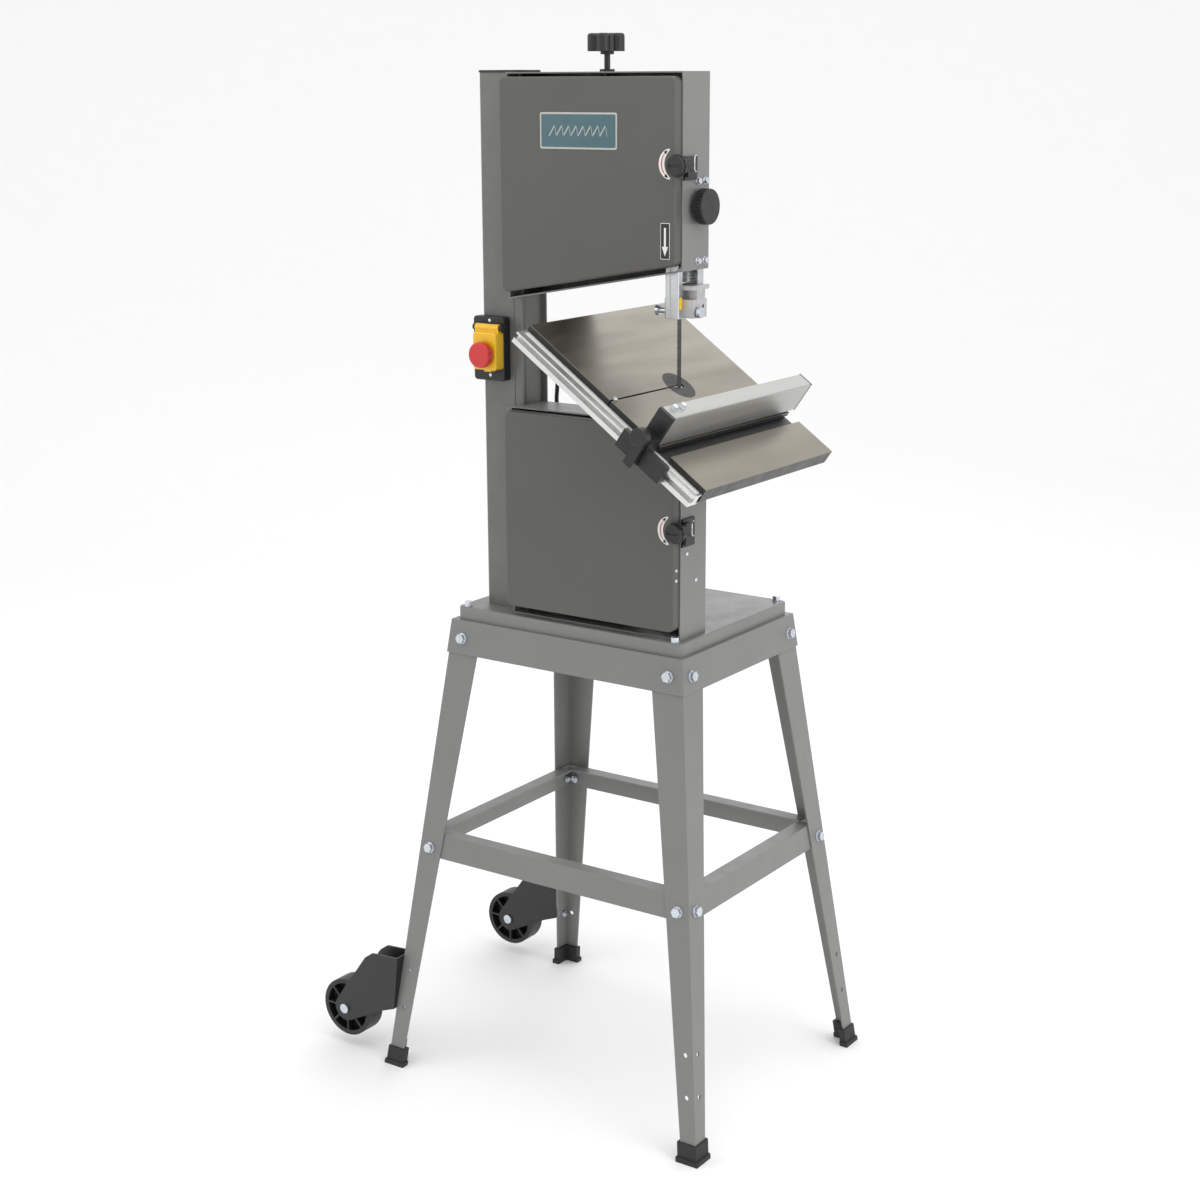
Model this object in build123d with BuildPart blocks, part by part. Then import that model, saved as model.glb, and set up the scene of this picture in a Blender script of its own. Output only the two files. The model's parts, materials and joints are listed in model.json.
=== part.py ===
"""Bench band saw on a four-legged sheet-steel stand, with a tilting table and a rip fence.

All sizes are millimetres. +Z is up, the doors face -Y and the blade's free side is +X.
Positions are written from the middle of the stand on the floor, and the three plane
helpers below move them so that the finished saw's box stands centred on the origin.
"""
from build123d import *
from math import cos, pi, radians, sin, tan
import os

os.makedirs("parts", exist_ok=True)

# ---- driving sizes -------------------------------------------------------------------
SHEET = 2.5                       # folded steel sheet of the stand
STAND_TOP = 688.0                 # where the base tray rests
FOOT_X, FOOT_Y = 276.2, 232.2     # outer planes of the stand where they meet the floor
LEAN_X, LEAN_Y = 0.1153, 0.12     # how far the stand draws in per millimetre of height
APRON_LOW = 639.0
BRACE_LOW, BRACE_HIGH = 331.0, 367.0
BRACE_BOLT_Z = 345.0
APRON_BOLT_Z = 662.0
BASE_X, BASE_Y, BASE_HIGH = 190.5, 144.0, 19.0
BASE_TOP = STAND_TOP + BASE_HIGH

SAW_TOP = 1450.0
COLUMN_LEFT, COLUMN_RIGHT = -161.0, -90.0
COLUMN_FRONT, COLUMN_BACK = -110.0, -64.0
HOUSING_LEFT, HOUSING_RIGHT = -100.0, 180.0
HOUSING_FRONT, HOUSING_BACK = -130.0, -66.0
HOUSING_SHEET = 2.0
UPPER_LEFT_Z, UPPER_RIGHT_Z = 1150.0, 1200.0      # sloping underside of the upper housing
LOWER_TOP_Z = 1002.0
LOWER_CUT_X, LOWER_CUT_Z = 62.0, 918.0            # corner cut off for the tilting table
DOOR_FRONT, DOOR_BACK = -146.0, -130.4
DOOR_SHEET = 1.8
HINGE_X, HINGE_Y = -103.5, -128.0

BLADE_X, BLADE_Y = 155.6, -98.0
BLADE_WIDE, BLADE_THICK = 10.0, 0.6
WHEEL_R, WHEEL_WIDE = 127.0, 16.0
BLADE_GAP = 0.3
WHEEL_X = BLADE_X - WHEEL_R - BLADE_GAP - BLADE_THICK / 2
UPPER_WHEEL_Z, LOWER_WHEEL_Z = 1312.0, 843.0
AXLE_R = 8.0
RUN = 0.06                        # radial running clearance

TILT = 35.0                       # table tilt in which the saw is stored
TABLE_Z = 1047.5                  # table surface at the blade
TABLE_LEFT, TABLE_RIGHT = -152.5, 173.5
TABLE_FRONT, TABLE_BACK = -160.0, 166.0
TABLE_DEEP, TABLE_PLATE = 20.0, 8.0
SLOT_LEFT, SLOT_RIGHT = 90.8, 109.8               # mitre slot, 19 mm wide
INSERT_R = 25.0
TRUNNION_R = 72.0

FENCE_LEFT, FENCE_RIGHT, FENCE_HIGH = 67.0, 89.5, 47.0
LEVER_FRONT = -205.0              # furthest point towards the user, from the blade
CASTOR_X, CASTOR_Z, CASTOR_R = -361.0, 64.0, 45.0
FOOT_WALL, FOOT_FLANGE = 2.5, 2.0
LEG_INSET = 2.2                   # the legs stand just inside the apron

LEAN_ANGLE = radians(TILT)
BOX_LEFT = CASTOR_X - CASTOR_R
BOX_RIGHT = BLADE_X + TABLE_RIGHT * cos(LEAN_ANGLE)
BOX_FRONT = BLADE_Y + LEVER_FRONT
BOX_BACK = FOOT_Y - LEG_INSET + FOOT_WALL + FOOT_FLANGE
CENTRE_X = -(BOX_LEFT + BOX_RIGHT) / 2
CENTRE_Y = -(BOX_FRONT + BOX_BACK) / 2


# ---- planes --------------------------------------------------------------------------
def place(x, y, z):
    """A point given from the middle of the stand, in the part's own frame."""
    return (x + CENTRE_X, y + CENTRE_Y, z)


def flat(x=0.0, y=0.0, z=0.0):
    """Level plane, drawn looking down, worked upwards."""
    return Plane(origin=place(x, y, z))


def front(x=0.0, y=0.0, z=0.0):
    """Upright plane with x to the right and y up, worked towards the user."""
    return Plane(origin=place(x, y, z), x_dir=(1, 0, 0), z_dir=(0, -1, 0))


def side(x=0.0, y=0.0, z=0.0):
    """Upright plane with x to the back and y up, worked to the right."""
    return Plane(origin=place(x, y, z), x_dir=(0, 1, 0), z_dir=(1, 0, 0))


ALONG = Vector(cos(LEAN_ANGLE), 0, -sin(LEAN_ANGLE))
UPRIGHT = Vector(sin(LEAN_ANGLE), 0, cos(LEAN_ANGLE))


def table_point(s, t, h):
    """A point given along, across and above the table from the blade at its surface."""
    start = Vector(*place(BLADE_X, BLADE_Y, TABLE_Z))
    return start + ALONG * s + Vector(0, t, 0) + UPRIGHT * h


def on_table(s=0.0, t=0.0, h=0.0):
    """Plane parallel to the table's surface, worked away from it."""
    return Plane(origin=table_point(s, t, h), x_dir=ALONG, z_dir=UPRIGHT)


def table_front(s=0.0, t=0.0, h=0.0):
    """Plane square to the table, facing the user."""
    return Plane(origin=table_point(s, t, h), x_dir=ALONG, z_dir=(0, -1, 0))


def table_side(s=0.0, t=0.0, h=0.0):
    """Plane square to the table, facing its low side."""
    return Plane(origin=table_point(s, t, h), x_dir=(0, 1, 0), z_dir=ALONG)


def stand_x(z, inset=0.0):
    return FOOT_X - inset - LEAN_X * z


def stand_y(z, inset=0.0):
    return FOOT_Y - inset - LEAN_Y * z


def stand_face(name, along, z, inset=0.0):
    """Plane on one sloping face of the stand, facing outwards."""
    if name in ("front", "back"):
        way = -1 if name == "front" else 1
        point = place(along, way * stand_y(z, inset), z)
        return Plane(origin=point, x_dir=(-way, 0, 0), z_dir=(0, way, LEAN_Y))
    way = -1 if name == "left" else 1
    point = place(way * stand_x(z, inset), along, z)
    return Plane(origin=point, x_dir=(0, way, 0), z_dir=(way, 0, LEAN_X))


# ---- shared shapes -------------------------------------------------------------------
def outline(plane, points, inset=0.0):
    """Flat face inside a closed outline of corner points, or a little inside it."""
    with BuildSketch(plane) as drawn:
        with BuildLine():
            Polyline(*points, close=True)
        make_face()
        if inset:
            offset(amount=-inset, kind=Kind.INTERSECTION, mode=Mode.REPLACE)
    return drawn.sketch


def panel(plane, points, high, mode=Mode.ADD, inset=0.0):
    """Flat piece cut to an outline of corner points."""
    extrude(outline(plane, points, inset), amount=high, mode=mode)


def block(plane, x_range, y_range, high, mode=Mode.ADD):
    """Rectangular block drawn on a plane between two pairs of limits."""
    low, top = y_range
    panel(plane, ((x_range[0], low), (x_range[1], low), (x_range[1], top), (x_range[0], top)), high, mode)


def disc(plane, radius, high, mode=Mode.ADD, at=(0, 0)):
    """Round bar or hole standing on a plane."""
    with BuildSketch(plane) as drawn:
        with Locations(at):
            Circle(radius)
    extrude(drawn.sketch, amount=high, mode=mode)


def ring(plane, outer, inner, high, mode=Mode.ADD):
    """Tube standing on a plane."""
    with BuildSketch(plane) as drawn:
        Circle(outer)
        Circle(inner, mode=Mode.SUBTRACT)
    extrude(drawn.sketch, amount=high, mode=mode)


def hexagon(plane, radius, high):
    """Bolt head or nut standing on a plane."""
    with BuildSketch(plane) as drawn:
        RegularPolygon(radius, 6)
    extrude(drawn.sketch, amount=high)


def keep(piece, name):
    """Name a finished piece and write its file."""
    piece.part.label = name
    export_step(piece.part, f"parts/{name}.step")


# ---- stand: four tapered angle legs --------------------------------------------------
LEG_TOP, LEG_LOW = 683.0, 3.0
LEG_TOP_WIDE, LEG_LOW_WIDE = 52.0, 24.0
SPARE_HOLES_Z = (91.0, 150.0)
SPARE_EDGE = 13.0                 # from the leg's corner to its spare holes
APRON_BOLT_X, APRON_BOLT_Y = 176.0, 133.0
BRACE_BOLT_X, BRACE_BOLT_Y = 216.0, 172.5
BOLT_R, BOLT_HOLE_R = 4.0, 4.5
SPARE_R = 3.5


def angle_section(way_x, way_y, z, wide, thick, inset):
    """L-shaped section of a leg or boot at height z, its corner outwards."""
    x, y = way_x * stand_x(z, inset), way_y * stand_y(z, inset)
    corners = ((0, 0), (wide, 0), (wide, thick), (thick, thick), (thick, wide), (0, wide))
    return outline(flat(z=z), [(x - way_x * a, y - way_y * b) for a, b in corners])


CORNERS = ((-1, -1), (1, -1), (-1, 1), (1, 1))
with BuildPart() as legs:
    for way_x, way_y in CORNERS:
        low = angle_section(way_x, way_y, LEG_LOW, LEG_LOW_WIDE, SHEET, LEG_INSET)
        high = angle_section(way_x, way_y, LEG_TOP, LEG_TOP_WIDE, SHEET, LEG_INSET)
        loft([low, high])
    for way_x, way_y in CORNERS:
        front_name = "front" if way_y < 0 else "back"
        side_name = "left" if way_x < 0 else "right"
        for z, x, y, r in ((APRON_BOLT_Z, APRON_BOLT_X, APRON_BOLT_Y, BOLT_HOLE_R),
                           (BRACE_BOLT_Z, BRACE_BOLT_X, BRACE_BOLT_Y, BOLT_HOLE_R)):
            disc(stand_face(front_name, way_x * x, z), r, -12, Mode.SUBTRACT)
            disc(stand_face(side_name, way_y * y, z), r, -12, Mode.SUBTRACT)
        for z in SPARE_HOLES_Z:
            middle_x = stand_x(z, LEG_INSET) - SPARE_EDGE
            middle_y = stand_y(z, LEG_INSET) - SPARE_EDGE
            disc(stand_face(front_name, way_x * middle_x, z), SPARE_R, -12, Mode.SUBTRACT)
            disc(stand_face(side_name, way_y * middle_y, z), SPARE_R, -12, Mode.SUBTRACT)
keep(legs, "legs")

# ---- stand: rubber boots on the legs -------------------------------------------------
BOOT_HIGH, BOOT_FLANGE_HIGH = 28.0, 7.0
BOOT_THICK = 8.0
BOOT_STEPS = ((BOOT_HIGH, FOOT_WALL), (BOOT_FLANGE_HIGH, FOOT_WALL + FOOT_FLANGE))
with BuildPart() as foot_boots:
    for way_x, way_y in CORNERS:
        for high, out in BOOT_STEPS:
            wide = LEG_LOW_WIDE + 2 + 2 * out
            sections = [angle_section(way_x, way_y, z, wide, BOOT_THICK + out, LEG_INSET - out)
                        for z in (0.0, high)]
            loft(sections)
        sections = []
        for z in (LEG_LOW, BOOT_HIGH + 1):
            grown = LEG_LOW_WIDE + (LEG_TOP_WIDE - LEG_LOW_WIDE) * (z - LEG_LOW) / (LEG_TOP - LEG_LOW)
            sections.append(angle_section(way_x, way_y, z, grown, SHEET, LEG_INSET))
        loft(sections, mode=Mode.SUBTRACT)
keep(foot_boots, "foot_boots")

# ---- stand: four sloping apron panels with a flange turned in at the top --------------
APRON_FLANGE = 34.0
BASE_BOLT_X, BASE_BOLT_Y = 176.0, 136.2
with BuildPart() as apron_panels:
    for way in (-1, 1):
        for z in (APRON_LOW, STAND_TOP):
            with BuildSketch(flat(y=way * (stand_y(z) - LEG_INSET / 2), z=z)):
                Rectangle(2 * stand_x(z), LEG_INSET)
        loft()
        for z in (APRON_LOW, STAND_TOP):
            with BuildSketch(flat(x=way * (stand_x(z) - LEG_INSET / 2), z=z)):
                Rectangle(LEG_INSET, 2 * (stand_y(z) - LEG_INSET - 0.2))
        loft()
        flange_x = stand_x(STAND_TOP) - LEG_INSET
        flange_y = stand_y(STAND_TOP) - LEG_INSET
        with BuildSketch(flat(y=way * (flange_y - APRON_FLANGE / 2), z=STAND_TOP)):
            Rectangle(2 * flange_x - 1, APRON_FLANGE + 1)
        extrude(amount=-2)
        with BuildSketch(flat(x=way * (flange_x - APRON_FLANGE / 2), z=STAND_TOP)):
            Rectangle(APRON_FLANGE + 1, 2 * (flange_y - APRON_FLANGE - 1))
        extrude(amount=-2)
    for way_x, way_y in CORNERS:
        front_name = "front" if way_y < 0 else "back"
        side_name = "left" if way_x < 0 else "right"
        disc(stand_face(front_name, way_x * APRON_BOLT_X, APRON_BOLT_Z), BOLT_HOLE_R, -6, Mode.SUBTRACT)
        disc(stand_face(side_name, way_y * APRON_BOLT_Y, APRON_BOLT_Z), BOLT_HOLE_R, -6, Mode.SUBTRACT)
        disc(flat(way_x * BASE_BOLT_X, way_y * BASE_BOLT_Y, STAND_TOP), BOLT_HOLE_R, -3, Mode.SUBTRACT)
keep(apron_panels, "apron_panels")

# ---- stand: four angle braces between the legs ---------------------------------------
BRACE_FLANGE = 22.0
BRACE_END_X, BRACE_END_Y = 227.5, 182.0
BRACE_INSET = LEG_INSET + SHEET + 0.1
with BuildPart() as braces:
    for way in (-1, 1):
        low, high = stand_y(BRACE_LOW, BRACE_INSET), stand_y(BRACE_HIGH, BRACE_INSET)
        web = ((way * low, BRACE_LOW), (way * high, BRACE_HIGH), (way * (high - SHEET), BRACE_HIGH),
               (way * (low - SHEET), BRACE_LOW))
        panel(side(x=-BRACE_END_X), web, 2 * BRACE_END_X)
        shelf = (min(way * high, way * (high - BRACE_FLANGE)), max(way * high, way * (high - BRACE_FLANGE)))
        block(flat(z=BRACE_HIGH), (-BRACE_END_X + 20, BRACE_END_X - 20), shelf, -SHEET)
        low, high = stand_x(BRACE_LOW, BRACE_INSET), stand_x(BRACE_HIGH, BRACE_INSET)
        web = ((way * low, BRACE_LOW), (way * high, BRACE_HIGH), (way * (high - SHEET), BRACE_HIGH),
               (way * (low - SHEET), BRACE_LOW))
        panel(front(y=BRACE_END_Y - 1), web, 2 * (BRACE_END_Y - 1))
        shelf = (min(way * high, way * (high - BRACE_FLANGE)), max(way * high, way * (high - BRACE_FLANGE)))
        clear_y = stand_y(BRACE_HIGH, BRACE_INSET) - BRACE_FLANGE - 2
        block(flat(z=BRACE_HIGH), shelf, (-clear_y, clear_y), -SHEET)
    for way_x, way_y in CORNERS:
        front_name = "front" if way_y < 0 else "back"
        side_name = "left" if way_x < 0 else "right"
        disc(stand_face(front_name, way_x * BRACE_BOLT_X, BRACE_BOLT_Z), BOLT_HOLE_R, -14, Mode.SUBTRACT)
        disc(stand_face(side_name, way_y * BRACE_BOLT_Y, BRACE_BOLT_Z), BOLT_HOLE_R, -14, Mode.SUBTRACT)
keep(braces, "braces")

# ---- stand: wheel brackets bolted to the left legs, with a transport wheel in each ----
BRACKET_LOW, BRACKET_HIGH = 88.0, 172.0
BRACKET_NEAR, BRACKET_FAR = 226.0, 188.0
BRACKET_END_R = 20.0
CASTOR_WIDE, CASTOR_BORE = 30.0, BOLT_R + RUN
CASTOR_SPOKES = 8
CASTOR_Y = (BRACKET_NEAR + BRACKET_FAR) / 2


def bracket_edge(z):
    """Outer face of the left legs, where the bracket's web lies."""
    return -stand_x(z, LEG_INSET)


cheek = ((bracket_edge(BRACKET_LOW), BRACKET_LOW), (-287, 79), (-352, 46), (-378, 75), (-318, 158),
         (-304, 168), (bracket_edge(BRACKET_HIGH), BRACKET_HIGH))
web = ((bracket_edge(BRACKET_LOW), BRACKET_LOW), (bracket_edge(BRACKET_HIGH), BRACKET_HIGH),
       (bracket_edge(BRACKET_HIGH) - SHEET, BRACKET_HIGH), (bracket_edge(BRACKET_LOW) - SHEET, BRACKET_LOW))
with BuildPart() as wheel_brackets:
    for way in (-1, 1):
        near, far = way * BRACKET_NEAR, way * BRACKET_FAR
        start = max(near, far)
        panel(front(y=start), web, BRACKET_NEAR - BRACKET_FAR)
        for y in (start, min(near, far) + SHEET):
            panel(front(y=y), cheek, SHEET)
            disc(front(CASTOR_X, y, CASTOR_Z), BRACKET_END_R, SHEET)
        disc(front(CASTOR_X, start + 1, CASTOR_Z), BOLT_HOLE_R, BRACKET_NEAR - BRACKET_FAR + 2, Mode.SUBTRACT)
        for z in SPARE_HOLES_Z:
            middle_y = stand_y(z, LEG_INSET) - SPARE_EDGE
            disc(stand_face("left", way * middle_y, z, LEG_INSET + 1), SPARE_R, 12, Mode.SUBTRACT)
keep(wheel_brackets, "wheel_brackets")


def transport_wheel(middle_y):
    """Spoked plastic wheel: a rim and a hub joined by a thin web and ribs."""
    with BuildPart() as wheel:
        near = middle_y + CASTOR_WIDE / 2
        disc(front(CASTOR_X, near, CASTOR_Z), CASTOR_R, CASTOR_WIDE)
        for y in (near, middle_y - 2):
            with BuildSketch(front(CASTOR_X, y, CASTOR_Z)):
                Circle(CASTOR_R - 7)
                Circle(11, mode=Mode.SUBTRACT)
                with PolarLocations(22, CASTOR_SPOKES):
                    Rectangle(44, 3, mode=Mode.SUBTRACT)
            extrude(amount=CASTOR_WIDE / 2 - 2, mode=Mode.SUBTRACT)
        disc(front(CASTOR_X, near + 1, CASTOR_Z), CASTOR_BORE, CASTOR_WIDE + 2, Mode.SUBTRACT)
    return wheel


transport_wheel_front = transport_wheel(-CASTOR_Y)
keep(transport_wheel_front, "transport_wheel_front")
transport_wheel_back = transport_wheel(CASTOR_Y)
keep(transport_wheel_back, "transport_wheel_back")

# ---- base tray on the stand ----------------------------------------------------------
with BuildPart() as base_tray:
    with BuildSketch(flat(z=STAND_TOP)):
        RectangleRounded(2 * BASE_X, 2 * BASE_Y, 9)
    extrude(amount=BASE_HIGH)
    fillet(base_tray.faces().sort_by(Axis.Z)[-1].edges(), 3)
    with BuildSketch(flat(z=STAND_TOP)):
        RectangleRounded(2 * (BASE_X - SHEET), 2 * (BASE_Y - SHEET), 6.5)
    extrude(amount=BASE_HIGH - SHEET, mode=Mode.SUBTRACT)
    with BuildSketch(flat(z=STAND_TOP)):
        with GridLocations(2 * BASE_BOLT_X, 2 * BASE_BOLT_Y, 2, 2):
            Circle(BOLT_HOLE_R)
    extrude(amount=BASE_HIGH, mode=Mode.SUBTRACT)
keep(base_tray, "base_tray")

# ---- every hexagon bolt of the stand, with washer and nut ----------------------------
HEAD_R, HEAD_HIGH = 7.2, 5.5
WASHER_R, WASHER_HIGH = 8.0, 1.5
ROUND_HEAD_R, BRACKET_BOLT_HEAD_R = 7.5, 6.5
NUT_R, NUT_HIGH = 6.5, 5.0


def add_bolt(plane, grip, washer_r=WASHER_R, head_r=HEAD_R):
    """Bolt whose head stands on the plane and whose nut is grip below it."""
    disc(plane, washer_r, WASHER_HIGH)
    hexagon(plane, head_r, WASHER_HIGH + HEAD_HIGH)
    disc(plane, BOLT_R, -(grip + 7))
    hexagon(plane.offset(-grip), NUT_R, -NUT_HIGH)


with BuildPart() as stand_bolts:
    for way_x, way_y in CORNERS:
        front_name = "front" if way_y < 0 else "back"
        side_name = "left" if way_x < 0 else "right"
        apron_grip = LEG_INSET + SHEET + 0.2
        add_bolt(stand_face(front_name, way_x * APRON_BOLT_X, APRON_BOLT_Z), apron_grip)
        add_bolt(stand_face(side_name, way_y * APRON_BOLT_Y, APRON_BOLT_Z), apron_grip)
        brace_grip = 2 * SHEET + 0.4
        add_bolt(stand_face(front_name, way_x * BRACE_BOLT_X, BRACE_BOLT_Z, LEG_INSET), brace_grip)
        add_bolt(stand_face(side_name, way_y * BRACE_BOLT_Y, BRACE_BOLT_Z, LEG_INSET), brace_grip)
        base_bolt = flat(way_x * BASE_BOLT_X, way_y * BASE_BOLT_Y, BASE_TOP)
        add_bolt(base_bolt, BASE_HIGH + 2.2, NUT_R - 0.5, NUT_R - 0.5)
    for way in (-1, 1):
        for z in SPARE_HOLES_Z:
            middle_y = stand_y(z, LEG_INSET) - SPARE_EDGE
            leg_bolt = stand_face("left", way * middle_y, z, LEG_INSET - SHEET)
            disc(leg_bolt, BRACKET_BOLT_HEAD_R, 3)
            disc(leg_bolt, SPARE_R - 0.6, -(2 * SHEET + 8))
            hexagon(leg_bolt.offset(-2 * SHEET - 0.1), BRACKET_BOLT_HEAD_R, -5)
        head_y = way * CASTOR_Y - (BRACKET_NEAR - BRACKET_FAR) / 2
        axle_long = BRACKET_NEAR - BRACKET_FAR
        disc(front(CASTOR_X, head_y, CASTOR_Z), ROUND_HEAD_R, 4)
        disc(front(CASTOR_X, head_y, CASTOR_Z), BOLT_R, -(axle_long + 8))
        hexagon(front(CASTOR_X, head_y + axle_long, CASTOR_Z), NUT_R, -NUT_HIGH)
keep(stand_bolts, "stand_bolts")

# ---- frame column: a folded tube that the return run of the blade passes through -------
COLUMN_WALL = 2.5
WINDOW_HALF = 60.0
SEAM_X = -106.0
with BuildPart() as column:
    wide, deep = COLUMN_RIGHT - COLUMN_LEFT, COLUMN_BACK - COLUMN_FRONT
    middle_x, middle_y = (COLUMN_LEFT + COLUMN_RIGHT) / 2, (COLUMN_FRONT + COLUMN_BACK) / 2
    with BuildSketch(flat(middle_x, middle_y, BASE_TOP)):
        RectangleRounded(wide, deep, 4)
        RectangleRounded(wide - 2 * COLUMN_WALL, deep - 2 * COLUMN_WALL, 1.5, mode=Mode.SUBTRACT)
    extrude(amount=SAW_TOP - BASE_TOP)
    block(flat(z=BASE_TOP), (SEAM_X - 0.8, SEAM_X + 0.8), (COLUMN_FRONT - 1, COLUMN_FRONT + 1),
          SAW_TOP - BASE_TOP, Mode.SUBTRACT)
    block(flat(z=BASE_TOP), (COLUMN_RIGHT - 1, COLUMN_RIGHT + 6), (COLUMN_BACK - 2, COLUMN_BACK),
          SAW_TOP - BASE_TOP)
    for z in (LOWER_WHEEL_Z, UPPER_WHEEL_Z):
        block(flat(z=z - WINDOW_HALF), (COLUMN_RIGHT - 5, COLUMN_RIGHT + 2), (-107.4, -88),
              2 * WINDOW_HALF, Mode.SUBTRACT)
keep(column, "column")

with BuildPart() as column_cap:
    with BuildSketch(flat(middle_x, middle_y, SAW_TOP)):
        RectangleRounded(wide + 3, deep + 2, 5)
    extrude(amount=3)
    fillet(column_cap.faces().sort_by(Axis.Z)[-1].edges(), 1.2)
    with BuildSketch(flat(middle_x, middle_y, SAW_TOP)):
        RectangleRounded(wide - 2 * COLUMN_WALL - 0.4, deep - 2 * COLUMN_WALL - 0.4, 1.3)
    extrude(amount=-8)
keep(column_cap, "column_cap")

# ---- housings: two sheet pans that enclose the wheels ----------------------------------
UPPER_OUTLINE = ((HOUSING_LEFT, UPPER_LEFT_Z), (HOUSING_RIGHT, UPPER_RIGHT_Z), (HOUSING_RIGHT, SAW_TOP),
                 (HOUSING_LEFT, SAW_TOP))
LOWER_OUTLINE = ((HOUSING_LEFT, BASE_TOP), (HOUSING_RIGHT, BASE_TOP), (HOUSING_RIGHT, LOWER_CUT_Z),
                 (LOWER_CUT_X, LOWER_TOP_Z), (HOUSING_LEFT, LOWER_TOP_Z))
SCREW_Y = -77.0                   # tension screw, guide post and stud share this depth
SCREW_R = 4.0
STUD_R = 6.0
GUIDE_KNOB_Y, GUIDE_KNOB_Z = -93.0, 1281.0
GUIDE_SHAFT_R = 5.0
MOTOR_X, MOTOR_Z = -40.0, 785.0
PORT_X, PORT_Z, PORT_R = 88.0, 785.0, 50.0
POST_LEFT, POST_RIGHT = 142.0, 175.0
POST_GAP = 0.3


def housing_shell(shape):
    """Open-fronted pan folded from sheet, cut away where the column passes."""
    panel(front(y=HOUSING_BACK), shape, HOUSING_BACK - HOUSING_FRONT)
    open_deep = HOUSING_BACK - HOUSING_FRONT
    panel(front(y=HOUSING_BACK - HOUSING_SHEET), shape, open_deep, Mode.SUBTRACT, HOUSING_SHEET)
    block(flat(z=BASE_TOP - 1), (HOUSING_LEFT - 1, COLUMN_RIGHT), (COLUMN_FRONT - 0.2, COLUMN_BACK + 4),
          SAW_TOP - BASE_TOP + 2, Mode.SUBTRACT)


with BuildPart() as upper_housing:
    housing_shell(UPPER_OUTLINE)
    block(flat(z=1180), (140, 177), (-121, -68), 23, Mode.SUBTRACT)
    rib_front, rib_back = -84.0, HOUSING_BACK - 1
    block(flat(z=1205), (POST_LEFT - POST_GAP - 2.2, POST_LEFT - POST_GAP), (rib_front, rib_back), 115)
    block(flat(z=1205), (POST_RIGHT + POST_GAP, HOUSING_RIGHT - 1), (rib_front, rib_back), 115)
    disc(flat(WHEEL_X, SCREW_Y, SAW_TOP + 1), SCREW_R + RUN, -5, Mode.SUBTRACT)
    disc(side(HOUSING_RIGHT + 1, GUIDE_KNOB_Y, GUIDE_KNOB_Z), GUIDE_SHAFT_R + RUN, -5, Mode.SUBTRACT)
    block(flat(z=1290), (WHEEL_X - 8, WHEEL_X + 8), (-70, -64), 36, Mode.SUBTRACT)
keep(upper_housing, "upper_housing")

with BuildPart() as lower_housing:
    housing_shell(LOWER_OUTLINE)
    block(flat(z=915), (147, 163), (-108, -90), 45, Mode.SUBTRACT)
    disc(front(WHEEL_X, HOUSING_BACK + 1, LOWER_WHEEL_Z), AXLE_R + 0.05, 5, Mode.SUBTRACT)
    disc(front(MOTOR_X, HOUSING_BACK + 1, MOTOR_Z), 14, 5, Mode.SUBTRACT)
    disc(front(PORT_X, HOUSING_BACK + 1, PORT_Z), PORT_R - 3, 5, Mode.SUBTRACT)
keep(lower_housing, "lower_housing")

# ---- doors, hinged on the left --------------------------------------------------------
KNUCKLE_R, PIN_R, KNUCKLE_HIGH = 3.0, 1.5, 16.0
UPPER_DOOR = ((-100.2, 1159.5), (178.3, 1207.6), (178.3, 1444.0), (-100.2, 1444.0))
LOWER_DOOR = ((-100.2, 721.0), (178.3, 721.0), (178.3, 914.0), (62.0, 998.0), (-100.2, 998.0))
UPPER_KNUCKLES = (1418.0, 1185.0)
LOWER_KNUCKLES = (975.0, 745.0)


def hinged_door(shape, knuckles):
    """Pressed door with rounded edges, hollow behind, and its hinge knuckles."""
    with BuildPart() as door:
        panel(front(y=DOOR_BACK), shape, DOOR_BACK - DOOR_FRONT)
        fillet(door.edges().filter_by(Axis.Y), 9)
        fillet(door.faces().sort_by(Axis.Y)[0].edges(), 3)
        inner = DOOR_BACK - DOOR_FRONT - DOOR_SHEET
        panel(front(y=DOOR_BACK), shape, inner, Mode.SUBTRACT, DOOR_SHEET + 1.4)
        for z in knuckles:
            disc(flat(HINGE_X, HINGE_Y, z), KNUCKLE_R, KNUCKLE_HIGH)
            block(flat(z=z), (HINGE_X - 1.5, HINGE_X + 4.5), (DOOR_BACK - 3.6, DOOR_BACK), KNUCKLE_HIGH)
            disc(flat(HINGE_X, HINGE_Y, z - 1), PIN_R + RUN, KNUCKLE_HIGH + 2, Mode.SUBTRACT)
    return door


upper_door = hinged_door(UPPER_DOOR, UPPER_KNUCKLES)
keep(upper_door, "upper_door")
lower_door = hinged_door(LOWER_DOOR, LOWER_KNUCKLES)
keep(lower_door, "lower_door")

LUG_HIGH, LUG_GAP = 9.0, 0.3
with BuildPart() as hinge_pins:
    for z in UPPER_KNUCKLES + LOWER_KNUCKLES:
        for start in (z - LUG_GAP - LUG_HIGH, z + KNUCKLE_HIGH + LUG_GAP):
            disc(flat(HINGE_X, HINGE_Y, start), KNUCKLE_R, LUG_HIGH)
            block(flat(z=start), (HINGE_X - 1, HOUSING_LEFT), (HINGE_Y - 1.9, HINGE_Y + 2), LUG_HIGH)
        disc(flat(HINGE_X, HINGE_Y, z - 1), PIN_R, KNUCKLE_HIGH + 2)
keep(hinge_pins, "hinge_pins")

# ---- door latches: a turning knob in a small block on each door, a keeper on the side --
LATCH_X = 184.0
UPPER_LATCH_Z, LOWER_LATCH_Z = 1334.0, 860.0
LATCH_KNOB_R, LATCH_SHANK_R = 13.0, 4.0
LATCH_FRONT = -147.0


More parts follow.
